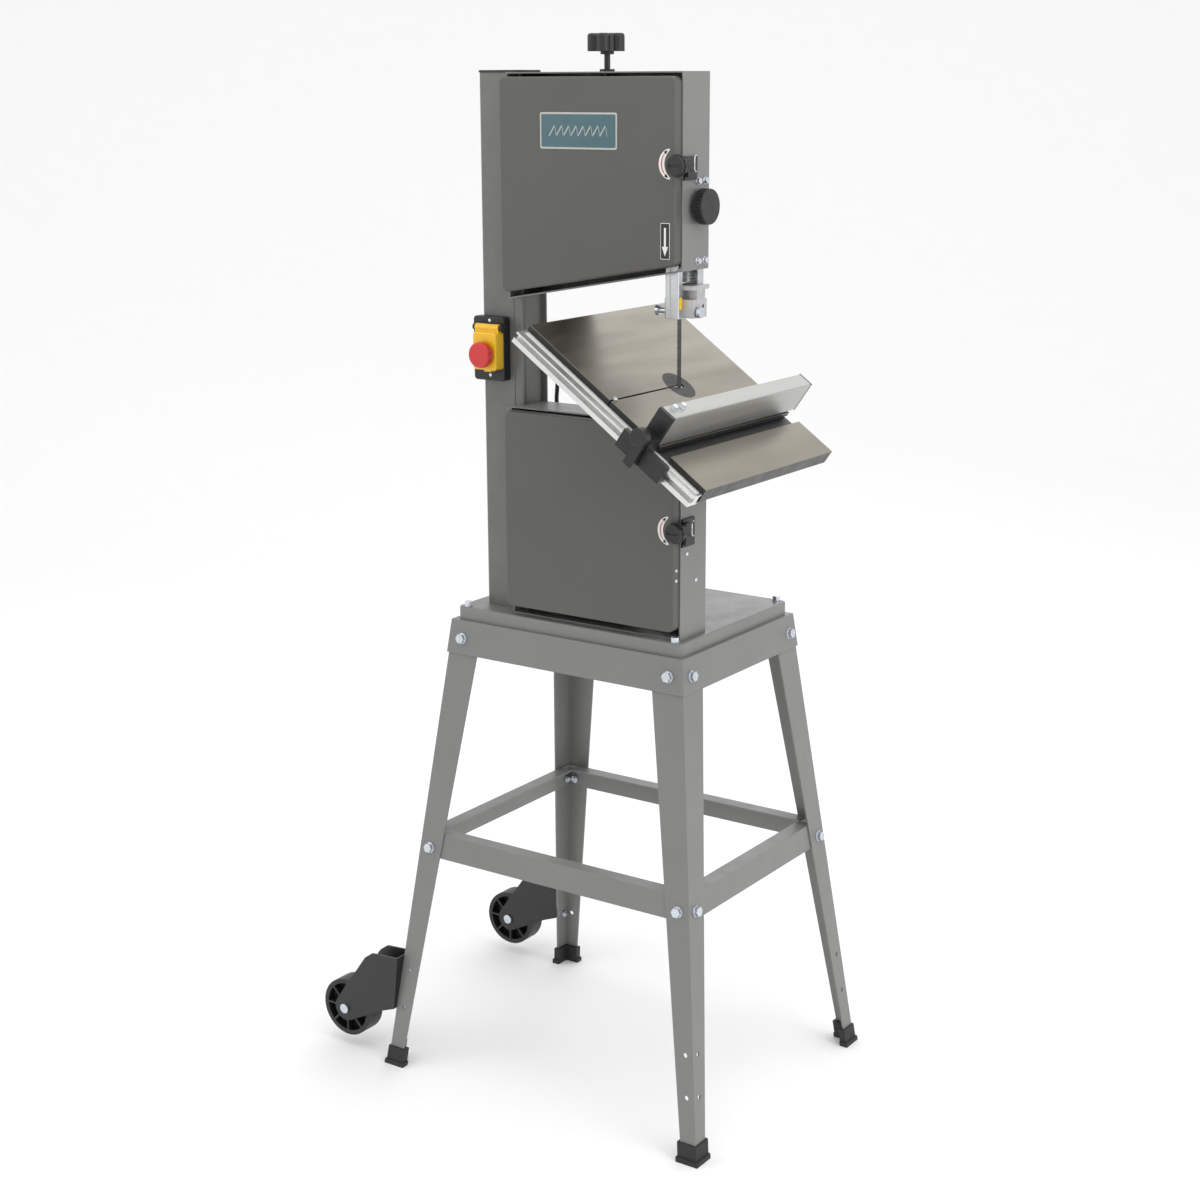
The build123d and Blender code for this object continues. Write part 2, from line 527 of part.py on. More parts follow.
def latch_base(z):
    with BuildPart() as base:
        block(flat(z=z - 9), (178.4, 191), (DOOR_FRONT, -131), 18)
        fillet(base.edges().filter_by(Axis.Y), 2)
        disc(front(LATCH_X, -130, z), LATCH_SHANK_R + RUN, 20, Mode.SUBTRACT)
    return base


def latch_knob(z):
    with BuildPart() as knob:
        disc(front(LATCH_X, LATCH_FRONT, z), LATCH_KNOB_R, 10)
        with BuildSketch(front(LATCH_X, LATCH_FRONT - 4, z)):
            Circle(LATCH_KNOB_R + 1)
            Circle(LATCH_KNOB_R, mode=Mode.SUBTRACT)
            with PolarLocations(LATCH_KNOB_R + 0.6, 12):
                Circle(1.2, mode=Mode.ADD)
        extrude(amount=-3)
        fillet(knob.faces().sort_by(Axis.Y)[0].edges(), 1.5)
        with BuildSketch(front(LATCH_X, LATCH_FRONT - 10, z)):
            SlotOverall(2 * LATCH_KNOB_R - 8, 3)
        extrude(amount=-1.5, mode=Mode.SUBTRACT)
        disc(front(LATCH_X, LATCH_FRONT, z), LATCH_SHANK_R, -14)
    return knob


upper_latch_base = latch_base(UPPER_LATCH_Z)
keep(upper_latch_base, "upper_latch_base")
lower_latch_base = latch_base(LOWER_LATCH_Z)
keep(lower_latch_base, "lower_latch_base")
upper_latch_knob = latch_knob(UPPER_LATCH_Z)
keep(upper_latch_knob, "upper_latch_knob")
lower_latch_knob = latch_knob(LOWER_LATCH_Z)
keep(lower_latch_knob, "lower_latch_knob")

with BuildPart() as latch_keepers:
    for low, high in ((1315.0, 1345.0), (836.0, 874.0)):
        block(flat(z=low), (HOUSING_RIGHT, HOUSING_RIGHT + 3), (-129.5, -99.5), high - low)
        block(flat(z=low + 4), (HOUSING_RIGHT, HOUSING_RIGHT + 8), (-129.5, -120), high - low - 8)
keep(latch_keepers, "latch_keepers")

# ---- wheels, tyres and blade ----------------------------------------------------------
RIM_R = WHEEL_R - 3
HUB_R, RIM_WALL = 20.0, 12.0
WHEEL_BACK = -90.0
HUB_FRONT, HUB_BACK = -110.0, -88.0
DRIVEN_R, DRIVER_R = 45.0, 25.0
BELT_BACK, BELT_WIDE, BELT_THICK, BELT_GAP = -76.0, 9.0, 4.0, 0.3
PULLEY_BACK, PULLEY_WIDE = -74.5, 12.0


def band_wheel(z, hub_back):
    """Cast wheel: rim, web with six round windows, and a bored hub."""
    with BuildPart() as wheel:
        disc(front(WHEEL_X, WHEEL_BACK, z), RIM_R, WHEEL_WIDE)
        web_front = WHEEL_BACK - WHEEL_WIDE + 5.5
        ring(front(WHEEL_X, web_front, z), RIM_R - RIM_WALL, HUB_R, 7, Mode.SUBTRACT)
        ring(front(WHEEL_X, WHEEL_BACK + 1, z), RIM_R - RIM_WALL, HUB_R, 6.5, Mode.SUBTRACT)
        with BuildSketch(front(WHEEL_X, WHEEL_BACK, z)):
            with PolarLocations(66, 6):
                Circle(22)
        extrude(amount=WHEEL_WIDE, mode=Mode.SUBTRACT)
        disc(front(WHEEL_X, hub_back, z), HUB_R, hub_back - HUB_FRONT)
        if hub_back > HUB_BACK:
            disc(front(WHEEL_X, PULLEY_BACK, z), DRIVEN_R, PULLEY_WIDE)
        disc(front(WHEEL_X, hub_back + 1, z), AXLE_R + RUN, 50, Mode.SUBTRACT)
    return wheel


def wheel_tyre(z):
    with BuildPart() as tyre:
        ring(front(WHEEL_X, WHEEL_BACK, z), WHEEL_R, RIM_R, WHEEL_WIDE)
    return tyre


upper_wheel = band_wheel(UPPER_WHEEL_Z, HUB_BACK)
keep(upper_wheel, "upper_wheel")
lower_wheel = band_wheel(LOWER_WHEEL_Z, PULLEY_BACK)
keep(lower_wheel, "lower_wheel")
upper_tyre = wheel_tyre(UPPER_WHEEL_Z)
keep(upper_tyre, "upper_tyre")
lower_tyre = wheel_tyre(LOWER_WHEEL_Z)
keep(lower_tyre, "lower_tyre")

BLADE_BACK = BLADE_Y + BLADE_WIDE / 2
WHEELS_APART = UPPER_WHEEL_Z - LOWER_WHEEL_Z
with BuildPart() as blade:
    with BuildSketch(front(WHEEL_X, BLADE_BACK, (UPPER_WHEEL_Z + LOWER_WHEEL_Z) / 2)):
        blade_in = WHEEL_R + BLADE_GAP
        SlotCenterToCenter(WHEELS_APART, 2 * (blade_in + BLADE_THICK), rotation=90)
        SlotCenterToCenter(WHEELS_APART, 2 * blade_in, rotation=90, mode=Mode.SUBTRACT)
    extrude(amount=BLADE_WIDE)
keep(blade, "blade")

# ---- upper wheel carriage, blade tension and tracking ----------------------------------
CARRIAGE_BACK, CARRIAGE_DEEP = -68.3, 17.7
with BuildPart() as wheel_carriage:
    block(front(y=CARRIAGE_BACK), (WHEEL_X - 20, WHEEL_X + 20), (UPPER_WHEEL_Z - 22, UPPER_WHEEL_Z + 22),
          CARRIAGE_DEEP)
    disc(flat(WHEEL_X, SCREW_Y, UPPER_WHEEL_Z - 23), SCREW_R + RUN, 46, Mode.SUBTRACT)
    disc(front(WHEEL_X, CARRIAGE_BACK - CARRIAGE_DEEP + 3, UPPER_WHEEL_Z), AXLE_R, 29)
    disc(front(WHEEL_X, -40, UPPER_WHEEL_Z), STUD_R, -40 - CARRIAGE_BACK + 2)
keep(wheel_carriage, "wheel_carriage")

with BuildPart() as lower_axle:
    disc(front(WHEEL_X, -54, LOWER_WHEEL_Z), AXLE_R, 58)
    disc(front(WHEEL_X, HOUSING_BACK - HOUSING_SHEET, LOWER_WHEEL_Z), 18, 4)
    ring(front(WHEEL_X, -64.5, LOWER_WHEEL_Z), 15, AXLE_R - 1, 1.5)
    hexagon(front(WHEEL_X, -56.5, LOWER_WHEEL_Z), 14, 8)
keep(lower_axle, "lower_axle")

STAR_R, STAR_LOW, STAR_HIGH = 26.0, 1476.0, 23.0
with BuildPart() as tension_knob:
    with BuildSketch(flat(WHEEL_X, SCREW_Y, STAR_LOW)):
        Circle(18)
        with PolarLocations(17.5, 5):
            Circle(8.5)
    extrude(amount=STAR_HIGH)
    fillet(tension_knob.faces().sort_by(Axis.Z)[-1].edges(), 4)
    disc(flat(WHEEL_X, SCREW_Y, STAR_LOW), 9, -4)
    disc(flat(WHEEL_X, SCREW_Y, SAW_TOP + 0.3), 10, 3)
    disc(flat(WHEEL_X, SCREW_Y, 1300), SCREW_R, STAR_LOW - 1300)
keep(tension_knob, "tension_knob")

SPRING_LOW, SPRING_TOP = UPPER_WHEEL_Z + 22.2, SAW_TOP - HOUSING_SHEET - 0.2
WIRE_R, COIL_R, COIL_PITCH = 1.4, 7.2, 8.0
with BuildPart() as tension_spring:
    coil = SPRING_TOP - SPRING_LOW - 2 * WIRE_R
    with BuildLine(flat(WHEEL_X, SCREW_Y, SPRING_LOW + WIRE_R)) as spring_path:
        Helix(COIL_PITCH, coil, COIL_R)
    with BuildSketch(spring_path.line ^ 0):
        Circle(WIRE_R)
    sweep(path=spring_path.line, is_frenet=True)
keep(tension_spring, "tension_spring")

with BuildPart() as tracking_knob:
    with BuildSketch(front(WHEEL_X, -42, UPPER_WHEEL_Z)):
        Circle(14)
        with PolarLocations(14, 3):
            Circle(6)
    extrude(amount=14)
    disc(front(WHEEL_X, -56, UPPER_WHEEL_Z), 11, 8)
    disc(front(WHEEL_X, -41, UPPER_WHEEL_Z), STUD_R + RUN, 30, Mode.SUBTRACT)
keep(tracking_knob, "tracking_knob")

# ---- motor and drive --------------------------------------------------------------------
MOTOR_R, MOTOR_SHAFT_R = 62.0, 7.0
MOTOR_FACE = -58.0
BOX_TOP_Z = 862.0
GLAND_R, GLAND_LONG = 8.0, 10.0
GLAND_SIZES = ((GLAND_R, 6.0), (GLAND_R - 2.5, GLAND_LONG))
CABLE_R = 3.0
with BuildPart() as motor:
    block(front(y=MOTOR_FACE), (MOTOR_X - 43, MOTOR_X + 43), (MOTOR_Z - 43, MOTOR_Z + 43),
          MOTOR_FACE - HOUSING_BACK)
    with BuildSketch(front(MOTOR_X, 70, MOTOR_Z)):
        Circle(MOTOR_R - 5)
        with PolarLocations(MOTOR_R - 4.5, 36):
            Rectangle(9, 2.4)
    extrude(amount=110)
    disc(front(MOTOR_X, -38, MOTOR_Z), MOTOR_R - 3, -38 - MOTOR_FACE)
    disc(front(MOTOR_X, 92, MOTOR_Z), MOTOR_R - 1, 24)
    fillet(motor.faces().sort_by(Axis.Y)[-1].edges(), 4)
    block(flat(z=BOX_TOP_Z), (MOTOR_X - 26, MOTOR_X + 26), (-16, 36), -24)
    disc(front(MOTOR_X, MOTOR_FACE + 2, MOTOR_Z), MOTOR_SHAFT_R + RUN, 20, Mode.SUBTRACT)
    with BuildSketch(front(MOTOR_X, 92, MOTOR_Z)):
        with PolarLocations(33, 14):
            SlotOverall(26, 4)
    extrude(amount=3, mode=Mode.SUBTRACT)
keep(motor, "motor")

with BuildPart() as motor_pulley:
    disc(front(MOTOR_X, PULLEY_BACK, MOTOR_Z), DRIVER_R, PULLEY_WIDE)
    disc(front(MOTOR_X, MOTOR_FACE + 1, MOTOR_Z), MOTOR_SHAFT_R, MOTOR_FACE + 90)
keep(motor_pulley, "motor_pulley")

with BuildPart() as drive_belt:
    with BuildSketch(front(y=BELT_BACK)):
        for grown, mode in ((BELT_GAP + BELT_THICK, Mode.ADD), (BELT_GAP, Mode.SUBTRACT)):
            with BuildSketch(mode=Mode.PRIVATE) as loop:
                with Locations((WHEEL_X, LOWER_WHEEL_Z)):
                    Circle(DRIVEN_R + grown)
                with Locations((MOTOR_X, MOTOR_Z)):
                    Circle(DRIVER_R + grown)
                make_hull(loop.edges())
            add(loop.sketch, mode=mode)
    extrude(amount=BELT_WIDE)
keep(drive_belt, "drive_belt")

# ---- upper blade guide: sliding post, guard, holder and its knob -------------------------
POST_FRONT, POST_BACK = -84.0, -70.0
POST_WALL = 3.0
POST_LOW, POST_TOP = 1180.0, 1400.0
HOLDER_LOW, HOLDER_TOP = 1138.0, 1162.0
GUIDE_Z, BEARING_Z = 1145.0, 1152.0
BEARING_R, BEARING_Y = 8.0, BLADE_BACK + 0.4 + 8.0
PIN_GAP = 0.3
with BuildPart() as guide_post:
    block(flat(z=POST_LOW), (POST_LEFT, POST_RIGHT), (POST_FRONT, POST_BACK), POST_TOP - POST_LOW)
    block(flat(z=POST_LOW - 1), (POST_LEFT + POST_WALL, POST_RIGHT - POST_WALL),
          (POST_FRONT - 1, POST_BACK - POST_WALL), POST_TOP - POST_LOW + 2, Mode.SUBTRACT)
    rack_left, rack_right = 160.0, 171.0
    block(flat(z=POST_LOW + 2), (rack_left, rack_right), (POST_FRONT + 1.2, POST_BACK - 1), 200)
    with BuildSketch(side(rack_left - 1, POST_FRONT + 1.2, POST_LOW + 8)):
        with Locations(*[(0, 4.4 * k) for k in range(43)]):
            Rectangle(3, 2.2)
    extrude(amount=13, mode=Mode.SUBTRACT)
keep(guide_post, "guide_post")

with BuildPart() as blade_guard:
    block(flat(z=1137), (146.6, 167.4), (-119, -109), 193)
    fillet(blade_guard.edges().filter_by(Axis.Z).sort_by(Axis.Y)[:2], 2)
    block(flat(z=1136), (154, 157.4), (-120, -117.8), 195, Mode.SUBTRACT)
keep(blade_guard, "blade_guard")

with BuildPart() as guide_holder:
    block(flat(z=POST_LOW - 6), (150, 184), (-109, -70), 6)
    block(flat(z=HOLDER_TOP), (160, 184), (-100, -80), POST_LOW - 6 - HOLDER_TOP)
    block(flat(z=HOLDER_LOW), (140, 184), (-109, -76), HOLDER_TOP - HOLDER_LOW)
    block(flat(z=HOLDER_LOW - 1), (153.6, 157.6), (-110, BLADE_BACK + 2), 50, Mode.SUBTRACT)
    block(flat(z=HOLDER_LOW - 1), (150, 161), (-94, -75.9), 26, Mode.SUBTRACT)
    disc(side(139, BLADE_Y, GUIDE_Z), BOLT_R + 0.05, 46, Mode.SUBTRACT)
    disc(side(139, BEARING_Y, BEARING_Z), 2.5, 46, Mode.SUBTRACT)
keep(guide_holder, "guide_holder")


def add_guide_pins(y, z, reach, bearing_y, bearing_z):
    """Two side pins that nearly touch the blade and the pin of the thrust bearing."""
    blade_left, blade_right = BLADE_X - BLADE_THICK / 2, BLADE_X + BLADE_THICK / 2
    disc(side(blade_left - PIN_GAP, y, z), BOLT_R, -reach)
    disc(side(blade_right + PIN_GAP, y, z), BOLT_R, reach)
    disc(side(BLADE_X - 14, bearing_y, bearing_z), 2.45, 26)


with BuildPart() as guide_pins:
    add_guide_pins(BLADE_Y, GUIDE_Z, 29, BEARING_Y, BEARING_Z)
    for x, high in ((BLADE_X - BLADE_THICK / 2 - PIN_GAP - 29, -5), (BLADE_X + BLADE_THICK / 2 + PIN_GAP + 29, 5)):
        disc(side(x, BLADE_Y, GUIDE_Z), 7, high)
keep(guide_pins, "guide_pins")

with BuildPart() as guide_bearing:
    ring(side(151.5, BEARING_Y, BEARING_Z), BEARING_R, 2.45 + RUN, 8)
keep(guide_bearing, "guide_bearing")

PINION_R = 8.7
with BuildPart() as guide_knob:
    disc(side(186, GUIDE_KNOB_Y, GUIDE_KNOB_Z), 23, 14)
    fillet(guide_knob.faces().sort_by(Axis.X)[-1].edges(), 2)
    with BuildSketch(side(188, GUIDE_KNOB_Y, GUIDE_KNOB_Z)):
        with PolarLocations(23.2, 30):
            Circle(1.3)
    extrude(amount=9, mode=Mode.SUBTRACT)
    disc(side(HOUSING_RIGHT + 0.3, GUIDE_KNOB_Y, GUIDE_KNOB_Z), 12, 6)
    disc(side(160, GUIDE_KNOB_Y, GUIDE_KNOB_Z), GUIDE_SHAFT_R, 30)
    with BuildSketch(side(160.5, GUIDE_KNOB_Y, GUIDE_KNOB_Z)):
        Circle(PINION_R - 1.6)
        with PolarLocations(PINION_R - 1.3, 12):
            Rectangle(2.6, 1.9)
    extrude(amount=11)
keep(guide_knob, "guide_knob")

# ---- lower blade guide and the cradle the table tilts in ---------------------------------
HOUSING_SLOPE = (LOWER_TOP_Z - LOWER_CUT_Z) / (HOUSING_RIGHT - LOWER_CUT_X)
CRADLE_LEFT, CRADLE_RIGHT = 100.0, 178.0
CRADLE_PLATE = 8.0
SADDLES_Y = (-116.0, -68.0)       # back face of each saddle
SADDLE_WIDE = 12.0
CRADLE_GAP = 0.3
TILT_STUD_Z = 987.5
LOCK_R = TABLE_Z - TILT_STUD_Z
LOWER_PIN_Z, LOWER_BEARING_Y, LOWER_BEARING_Z = 970.0, BLADE_BACK + 5.4, 962.0


def slope_z(x, above=0.0):
    """Height of the lower housing's sloping corner at x."""
    return LOWER_TOP_Z - HOUSING_SLOPE * (x - LOWER_CUT_X) + above


with BuildPart() as trunnion_base:
    foot = ((CRADLE_LEFT, slope_z(CRADLE_LEFT)), (CRADLE_RIGHT, slope_z(CRADLE_RIGHT)),
            (CRADLE_RIGHT, slope_z(CRADLE_RIGHT, CRADLE_PLATE)), (CRADLE_LEFT, slope_z(CRADLE_LEFT, CRADLE_PLATE)))
    panel(front(y=SADDLES_Y[1]), foot, SADDLES_Y[1] - SADDLES_Y[0] + SADDLE_WIDE)
    block(flat(z=900), (145, 165), (-110, -86), 100, Mode.SUBTRACT)
    saddle = ((CRADLE_LEFT, slope_z(CRADLE_LEFT)), (CRADLE_RIGHT, slope_z(CRADLE_RIGHT)),
              (CRADLE_RIGHT, 1004), (CRADLE_LEFT, 1004))
    for y in SADDLES_Y:
        panel(front(y=y), saddle, SADDLE_WIDE)
    cheek = ((125, slope_z(125, 2)), (176, slope_z(176, 2)), (176, 1000), (125, 1000))
    for y in SADDLES_Y:
        disc(front(BLADE_X, y, TABLE_Z), TRUNNION_R + CRADLE_GAP, SADDLE_WIDE, Mode.SUBTRACT)
    panel(front(y=SADDLES_Y[1] + 10), cheek, 10 - CRADLE_GAP)
    panel(front(y=SADDLES_Y[1] + 2), ((125, slope_z(125, 2)), (176, slope_z(176, 2)), (176, 950), (125, 970)), 4)
    disc(front(BLADE_X, SADDLES_Y[1] + 11, TILT_STUD_Z), BOLT_R + RUN, 12, Mode.SUBTRACT)
keep(trunnion_base, "trunnion_base")

with BuildPart() as lower_guide:
    block(flat(z=944), (137, 173), (-113, -81.5), 34)
    block(flat(z=943), (153.6, 157.6), (-114, BLADE_BACK + 2), 40, Mode.SUBTRACT)
    block(flat(z=954), (151, 160.5), (-95, -81), 30, Mode.SUBTRACT)
    shaved = ((130, slope_z(130, CRADLE_PLATE)), (180, slope_z(180, CRADLE_PLATE)), (180, 910), (130, 910))
    panel(front(y=-80), shaved, 36, Mode.SUBTRACT)
    block(flat(z=940), (144, 166), (-110.2, -85.8), 12, Mode.SUBTRACT)
    disc(side(136, BLADE_Y, LOWER_PIN_Z), BOLT_R + 0.05, 40, Mode.SUBTRACT)
    disc(side(136, LOWER_BEARING_Y, LOWER_BEARING_Z), 2.5, 40, Mode.SUBTRACT)
    add_guide_pins(BLADE_Y, LOWER_PIN_Z, 20, LOWER_BEARING_Y, LOWER_BEARING_Z)
    ring(side(152, LOWER_BEARING_Y, LOWER_BEARING_Z), 5, 2.45, 7.5)
keep(lower_guide, "lower_guide")

SHOES_T = (-18.0, 30.0)           # back face of each shoe, from the blade
SHOE_IN_R = 50.0
LOCK_SLOT = 9.2
with BuildPart() as trunnion_shoes:
    for t in SHOES_T:
        with BuildSketch(table_front(t=t)):
            Circle(TRUNNION_R)
            Circle(SHOE_IN_R, mode=Mode.SUBTRACT)
            with Locations((0, TRUNNION_R - TABLE_PLATE)):
                Rectangle(2 * TRUNNION_R + 4, 2 * TRUNNION_R, mode=Mode.SUBTRACT)
            with Locations((0, -TABLE_PLATE - 5)):
                Rectangle(2 * 70, 10)
            with Locations((0, -TABLE_PLATE - 5)):
                Rectangle(2 * 14, 10, mode=Mode.SUBTRACT)
        extrude(amount=SADDLE_WIDE)
    with BuildSketch(table_front(t=SHOES_T[1] + 1)):
        Circle(LOCK_R + LOCK_SLOT / 2)
        Circle(LOCK_R - LOCK_SLOT / 2, mode=Mode.SUBTRACT)
        with BuildLine():
            Polyline((0, 0), (-8, -90), (106, -90), close=True)
        make_face(mode=Mode.INTERSECT)
    extrude(amount=SADDLE_WIDE + 2, mode=Mode.SUBTRACT)
keep(trunnion_shoes, "trunnion_shoes")

with BuildPart() as tilt_lock:
    disc(front(BLADE_X, -40, TILT_STUD_Z), BOLT_R, 48)
    disc(front(BLADE_X, -80.3, TILT_STUD_Z), 7, 6)
    disc(front(BLADE_X, -44, TILT_STUD_Z), 9, 13.7)
    block(front(y=-45), (BLADE_X - 5, BLADE_X + 5), (TILT_STUD_Z - 48, TILT_STUD_Z), 7)
    disc(front(BLADE_X, -42, TILT_STUD_Z - 48), 7, 13)
keep(tilt_lock, "tilt_lock")

# ---- table -------------------------------------------------------------------------------
KERF = 2.5
LEDGE_R, INSERT_DEEP = 21.0, 3.0
MITRE_DEEP, UNDERCUT_DEEP, UNDERCUT_WIDE = 6.0, 3.5, 23.5
with BuildPart() as table:
    block(on_table(h=-TABLE_DEEP), (TABLE_LEFT, TABLE_RIGHT), (TABLE_FRONT, TABLE_BACK), TABLE_DEEP)
    block(on_table(h=-TABLE_DEEP), (TABLE_LEFT + 7, TABLE_RIGHT - 7), (TABLE_FRONT + 7, TABLE_BACK - 7),
          TABLE_DEEP - TABLE_PLATE, Mode.SUBTRACT)
    boss_left, boss_right = SLOT_LEFT - 6, SLOT_RIGHT + 6
    block(on_table(h=-MITRE_DEEP - UNDERCUT_DEEP - 5), (boss_left, boss_right),
          (TABLE_FRONT + 1, TABLE_BACK - 1), MITRE_DEEP + UNDERCUT_DEEP + 1)
    for along in (-100.0, 55.0):
        block(on_table(h=-16), (along - 3, along + 3), (TABLE_FRONT + 2, -40), 10)
        block(on_table(h=-16), (along - 3, along + 3), (40, TABLE_BACK - 2), 10)
    block(on_table(h=-MITRE_DEEP), (SLOT_LEFT, SLOT_RIGHT), (TABLE_FRONT - 1, TABLE_BACK + 1), 10,
          Mode.SUBTRACT)
    slot_middle = (SLOT_LEFT + SLOT_RIGHT) / 2
    block(on_table(h=-MITRE_DEEP - UNDERCUT_DEEP),
          (slot_middle - UNDERCUT_WIDE / 2, slot_middle + UNDERCUT_WIDE / 2),
          (TABLE_FRONT - 1, TABLE_BACK + 1), UNDERCUT_DEEP, Mode.SUBTRACT)
    disc(on_table(h=-INSERT_DEEP - 0.3), INSERT_R + 0.15, 5, Mode.SUBTRACT)
    disc(on_table(h=-TABLE_PLATE - 1), LEDGE_R, 12, Mode.SUBTRACT)
    block(on_table(h=-TABLE_DEEP - 1), (-KERF / 2, KERF / 2), (TABLE_FRONT - 1, 0), TABLE_DEEP + 3,
          Mode.SUBTRACT)
keep(table, "table")

with BuildPart() as table_insert:
    disc(on_table(h=-INSERT_DEEP), INSERT_R, INSERT_DEEP)
    block(on_table(h=-INSERT_DEEP - 1), (-1.6, 4.4), (-8, 8.5), 6, Mode.SUBTRACT)
    block(on_table(h=-INSERT_DEEP - 1), (-KERF / 2, KERF / 2), (-INSERT_R - 1, 0), 6, Mode.SUBTRACT)
keep(table_insert, "table_insert")

# ---- fence rail along the front of the table ----------------------------------------------
RAIL_RIGHT = 172.5
RAIL_BACK, RAIL_FRONT = TABLE_FRONT - 0.1, -182.0
with BuildPart() as rail:
    section = ((RAIL_BACK, -8), (RAIL_FRONT, -8), (RAIL_FRONT, -10.6), (-179.6, -10.6), (-179.6, -9.8),
               (-174, -9.8), (-174, -18.2), (-179.6, -18.2), (-179.6, -17.4), (RAIL_FRONT, -17.4),
               (RAIL_FRONT, -24), (RAIL_BACK, -24), (RAIL_BACK, -21.5), (-164, -21.5), (-164, -10.5),
               (RAIL_BACK, -10.5))
    panel(table_side(s=TABLE_LEFT), section, RAIL_RIGHT - TABLE_LEFT)
keep(rail, "rail")

# ---- rip fence -----------------------------------------------------------------------------
FENCE_MIDDLE = (FENCE_LEFT + FENCE_RIGHT) / 2
FENCE_LOW, FENCE_WALL = 1.5, 2.0
FENCE_BACK, FENCE_FRONT = 179.0, -166.0
LEVER_S, LEVER_H = 77.0, 12.0
with BuildPart() as fence_bar:
    block(on_table(h=FENCE_LOW), (FENCE_LEFT, FENCE_RIGHT), (FENCE_FRONT, FENCE_BACK), FENCE_HIGH - FENCE_LOW)
    fillet(fence_bar.edges().filter_by(Axis.Y), 1.2)
    for low, high in ((FENCE_LOW + FENCE_WALL, 23.5), (25.5, FENCE_HIGH - FENCE_WALL)):
        block(on_table(h=low), (FENCE_LEFT + FENCE_WALL, FENCE_RIGHT - FENCE_WALL),
              (FENCE_FRONT - 1, FENCE_BACK + 1), high - low, Mode.SUBTRACT)
keep(fence_bar, "fence_bar")

with BuildPart() as fence_head:
    block(table_front(t=-166.1), (FENCE_LEFT - 1, FENCE_RIGHT + 1), (-6, FENCE_HIGH), 6)
    block(table_front(t=-166.1), (FENCE_LEFT - 1, FENCE_RIGHT + 1), (-6.5, 14), 25.9)
    block(table_front(t=-184), (50, 127), (-24, 2), 8)
    fillet(fence_head.edges().filter_by(Axis.Y).group_by(Axis.X)[-1], 3)
    block(table_front(t=-176), (58, 119), (-16.6, -11.4), 10)
    disc(table_front(LEVER_S, -180, LEVER_H), BOLT_R + RUN, 20, Mode.SUBTRACT)
keep(fence_head, "fence_head")

with BuildPart() as fence_lever:
    disc(table_front(LEVER_S, -193, LEVER_H), 12, 12)
    fillet(fence_lever.faces().sort_by(Axis.Y)[0].edges(), 1.5)
    arm = ((LEVER_S - 2, LEVER_H), (LEVER_S + 11.5, LEVER_H), (LEVER_S + 13, -27), (LEVER_S + 8, -29),
           (LEVER_S - 1, -28))
    panel(table_front(t=-194.5), arm, 8)
    disc(table_front(LEVER_S, -181, LEVER_H), BOLT_R, 14)
keep(fence_lever, "fence_lever")

with BuildPart() as fence_end_cap:
    block(table_front(t=FENCE_BACK + 3.1), (FENCE_LEFT, FENCE_RIGHT), (FENCE_LOW, FENCE_HIGH), 3)
    block(table_front(t=FENCE_BACK + 0.1), (FENCE_LEFT + 2.3, FENCE_RIGHT - 2.3), (26, 44.5), 8)
    block(table_front(t=FENCE_BACK + 0.1), (FENCE_LEFT + 2.3, FENCE_RIGHT - 2.3), (4, 23), 8)
keep(fence_end_cap, "fence_end_cap")

# ---- safety switch on the column -------------------------------------------------------------
PLATE_LEFT, PLATE_RIGHT, PLATE_LOW, PLATE_TOP = -167.0, -114.0, 1034.0, 1123.0
PLATE_FRONT = -124.0
COVER_LEFT, COVER_RIGHT, COVER_LOW, COVER_TOP = -155.0, -115.0, 1051.0, 1103.0
COVER_FRONT, COVER_BACK = -142.0, -124.4
COVER_HINGE_Y, COVER_HINGE_Z, COVER_HINGE_R = -132.0, 1109.0, 5.0
STOP_X, STOP_Z, STOP_R = -134.0, 1073.0, 18.0
BUTTON_R = 7.0
BUTTONS_Z = (1084.0, 1063.0)
BUTTON_X = -135.0
with BuildPart() as switch_plate:
    block(front(y=COLUMN_FRONT), (PLATE_LEFT, PLATE_RIGHT), (PLATE_LOW, PLATE_TOP), COLUMN_FRONT - PLATE_FRONT)
    fillet(switch_plate.edges().filter_by(Axis.Y), 5)
    fillet(switch_plate.faces().sort_by(Axis.Y)[0].edges(), 1.5)
    for z in BUTTONS_Z:
        disc(front(BUTTON_X, PLATE_FRONT + 8, z), BUTTON_R + RUN, 12, Mode.SUBTRACT)
    for x in (COVER_LEFT - 0.3, COVER_RIGHT + 4.7):
        disc(side(x, COVER_HINGE_Y, COVER_HINGE_Z), 4.4, -4)
        block(side(x), (COVER_HINGE_Y - 2, PLATE_FRONT), (COVER_HINGE_Z - 3.5, COVER_HINGE_Z + 3.5), -4)
    disc(side(COVER_LEFT - 1, COVER_HINGE_Y, COVER_HINGE_Z), 1.5, COVER_RIGHT - COVER_LEFT + 3)
keep(switch_plate, "switch_plate")


def push_button(z):
    with BuildPart() as button:
        disc(front(BUTTON_X, PLATE_FRONT + 4, z), BUTTON_R, 9)
        fillet(button.faces().sort_by(Axis.Y)[0].edges(), 0.8)
    return button


start_button = push_button(BUTTONS_Z[0])
keep(start_button, "start_button")
stop_button = push_button(BUTTONS_Z[1])
keep(stop_button, "stop_button")

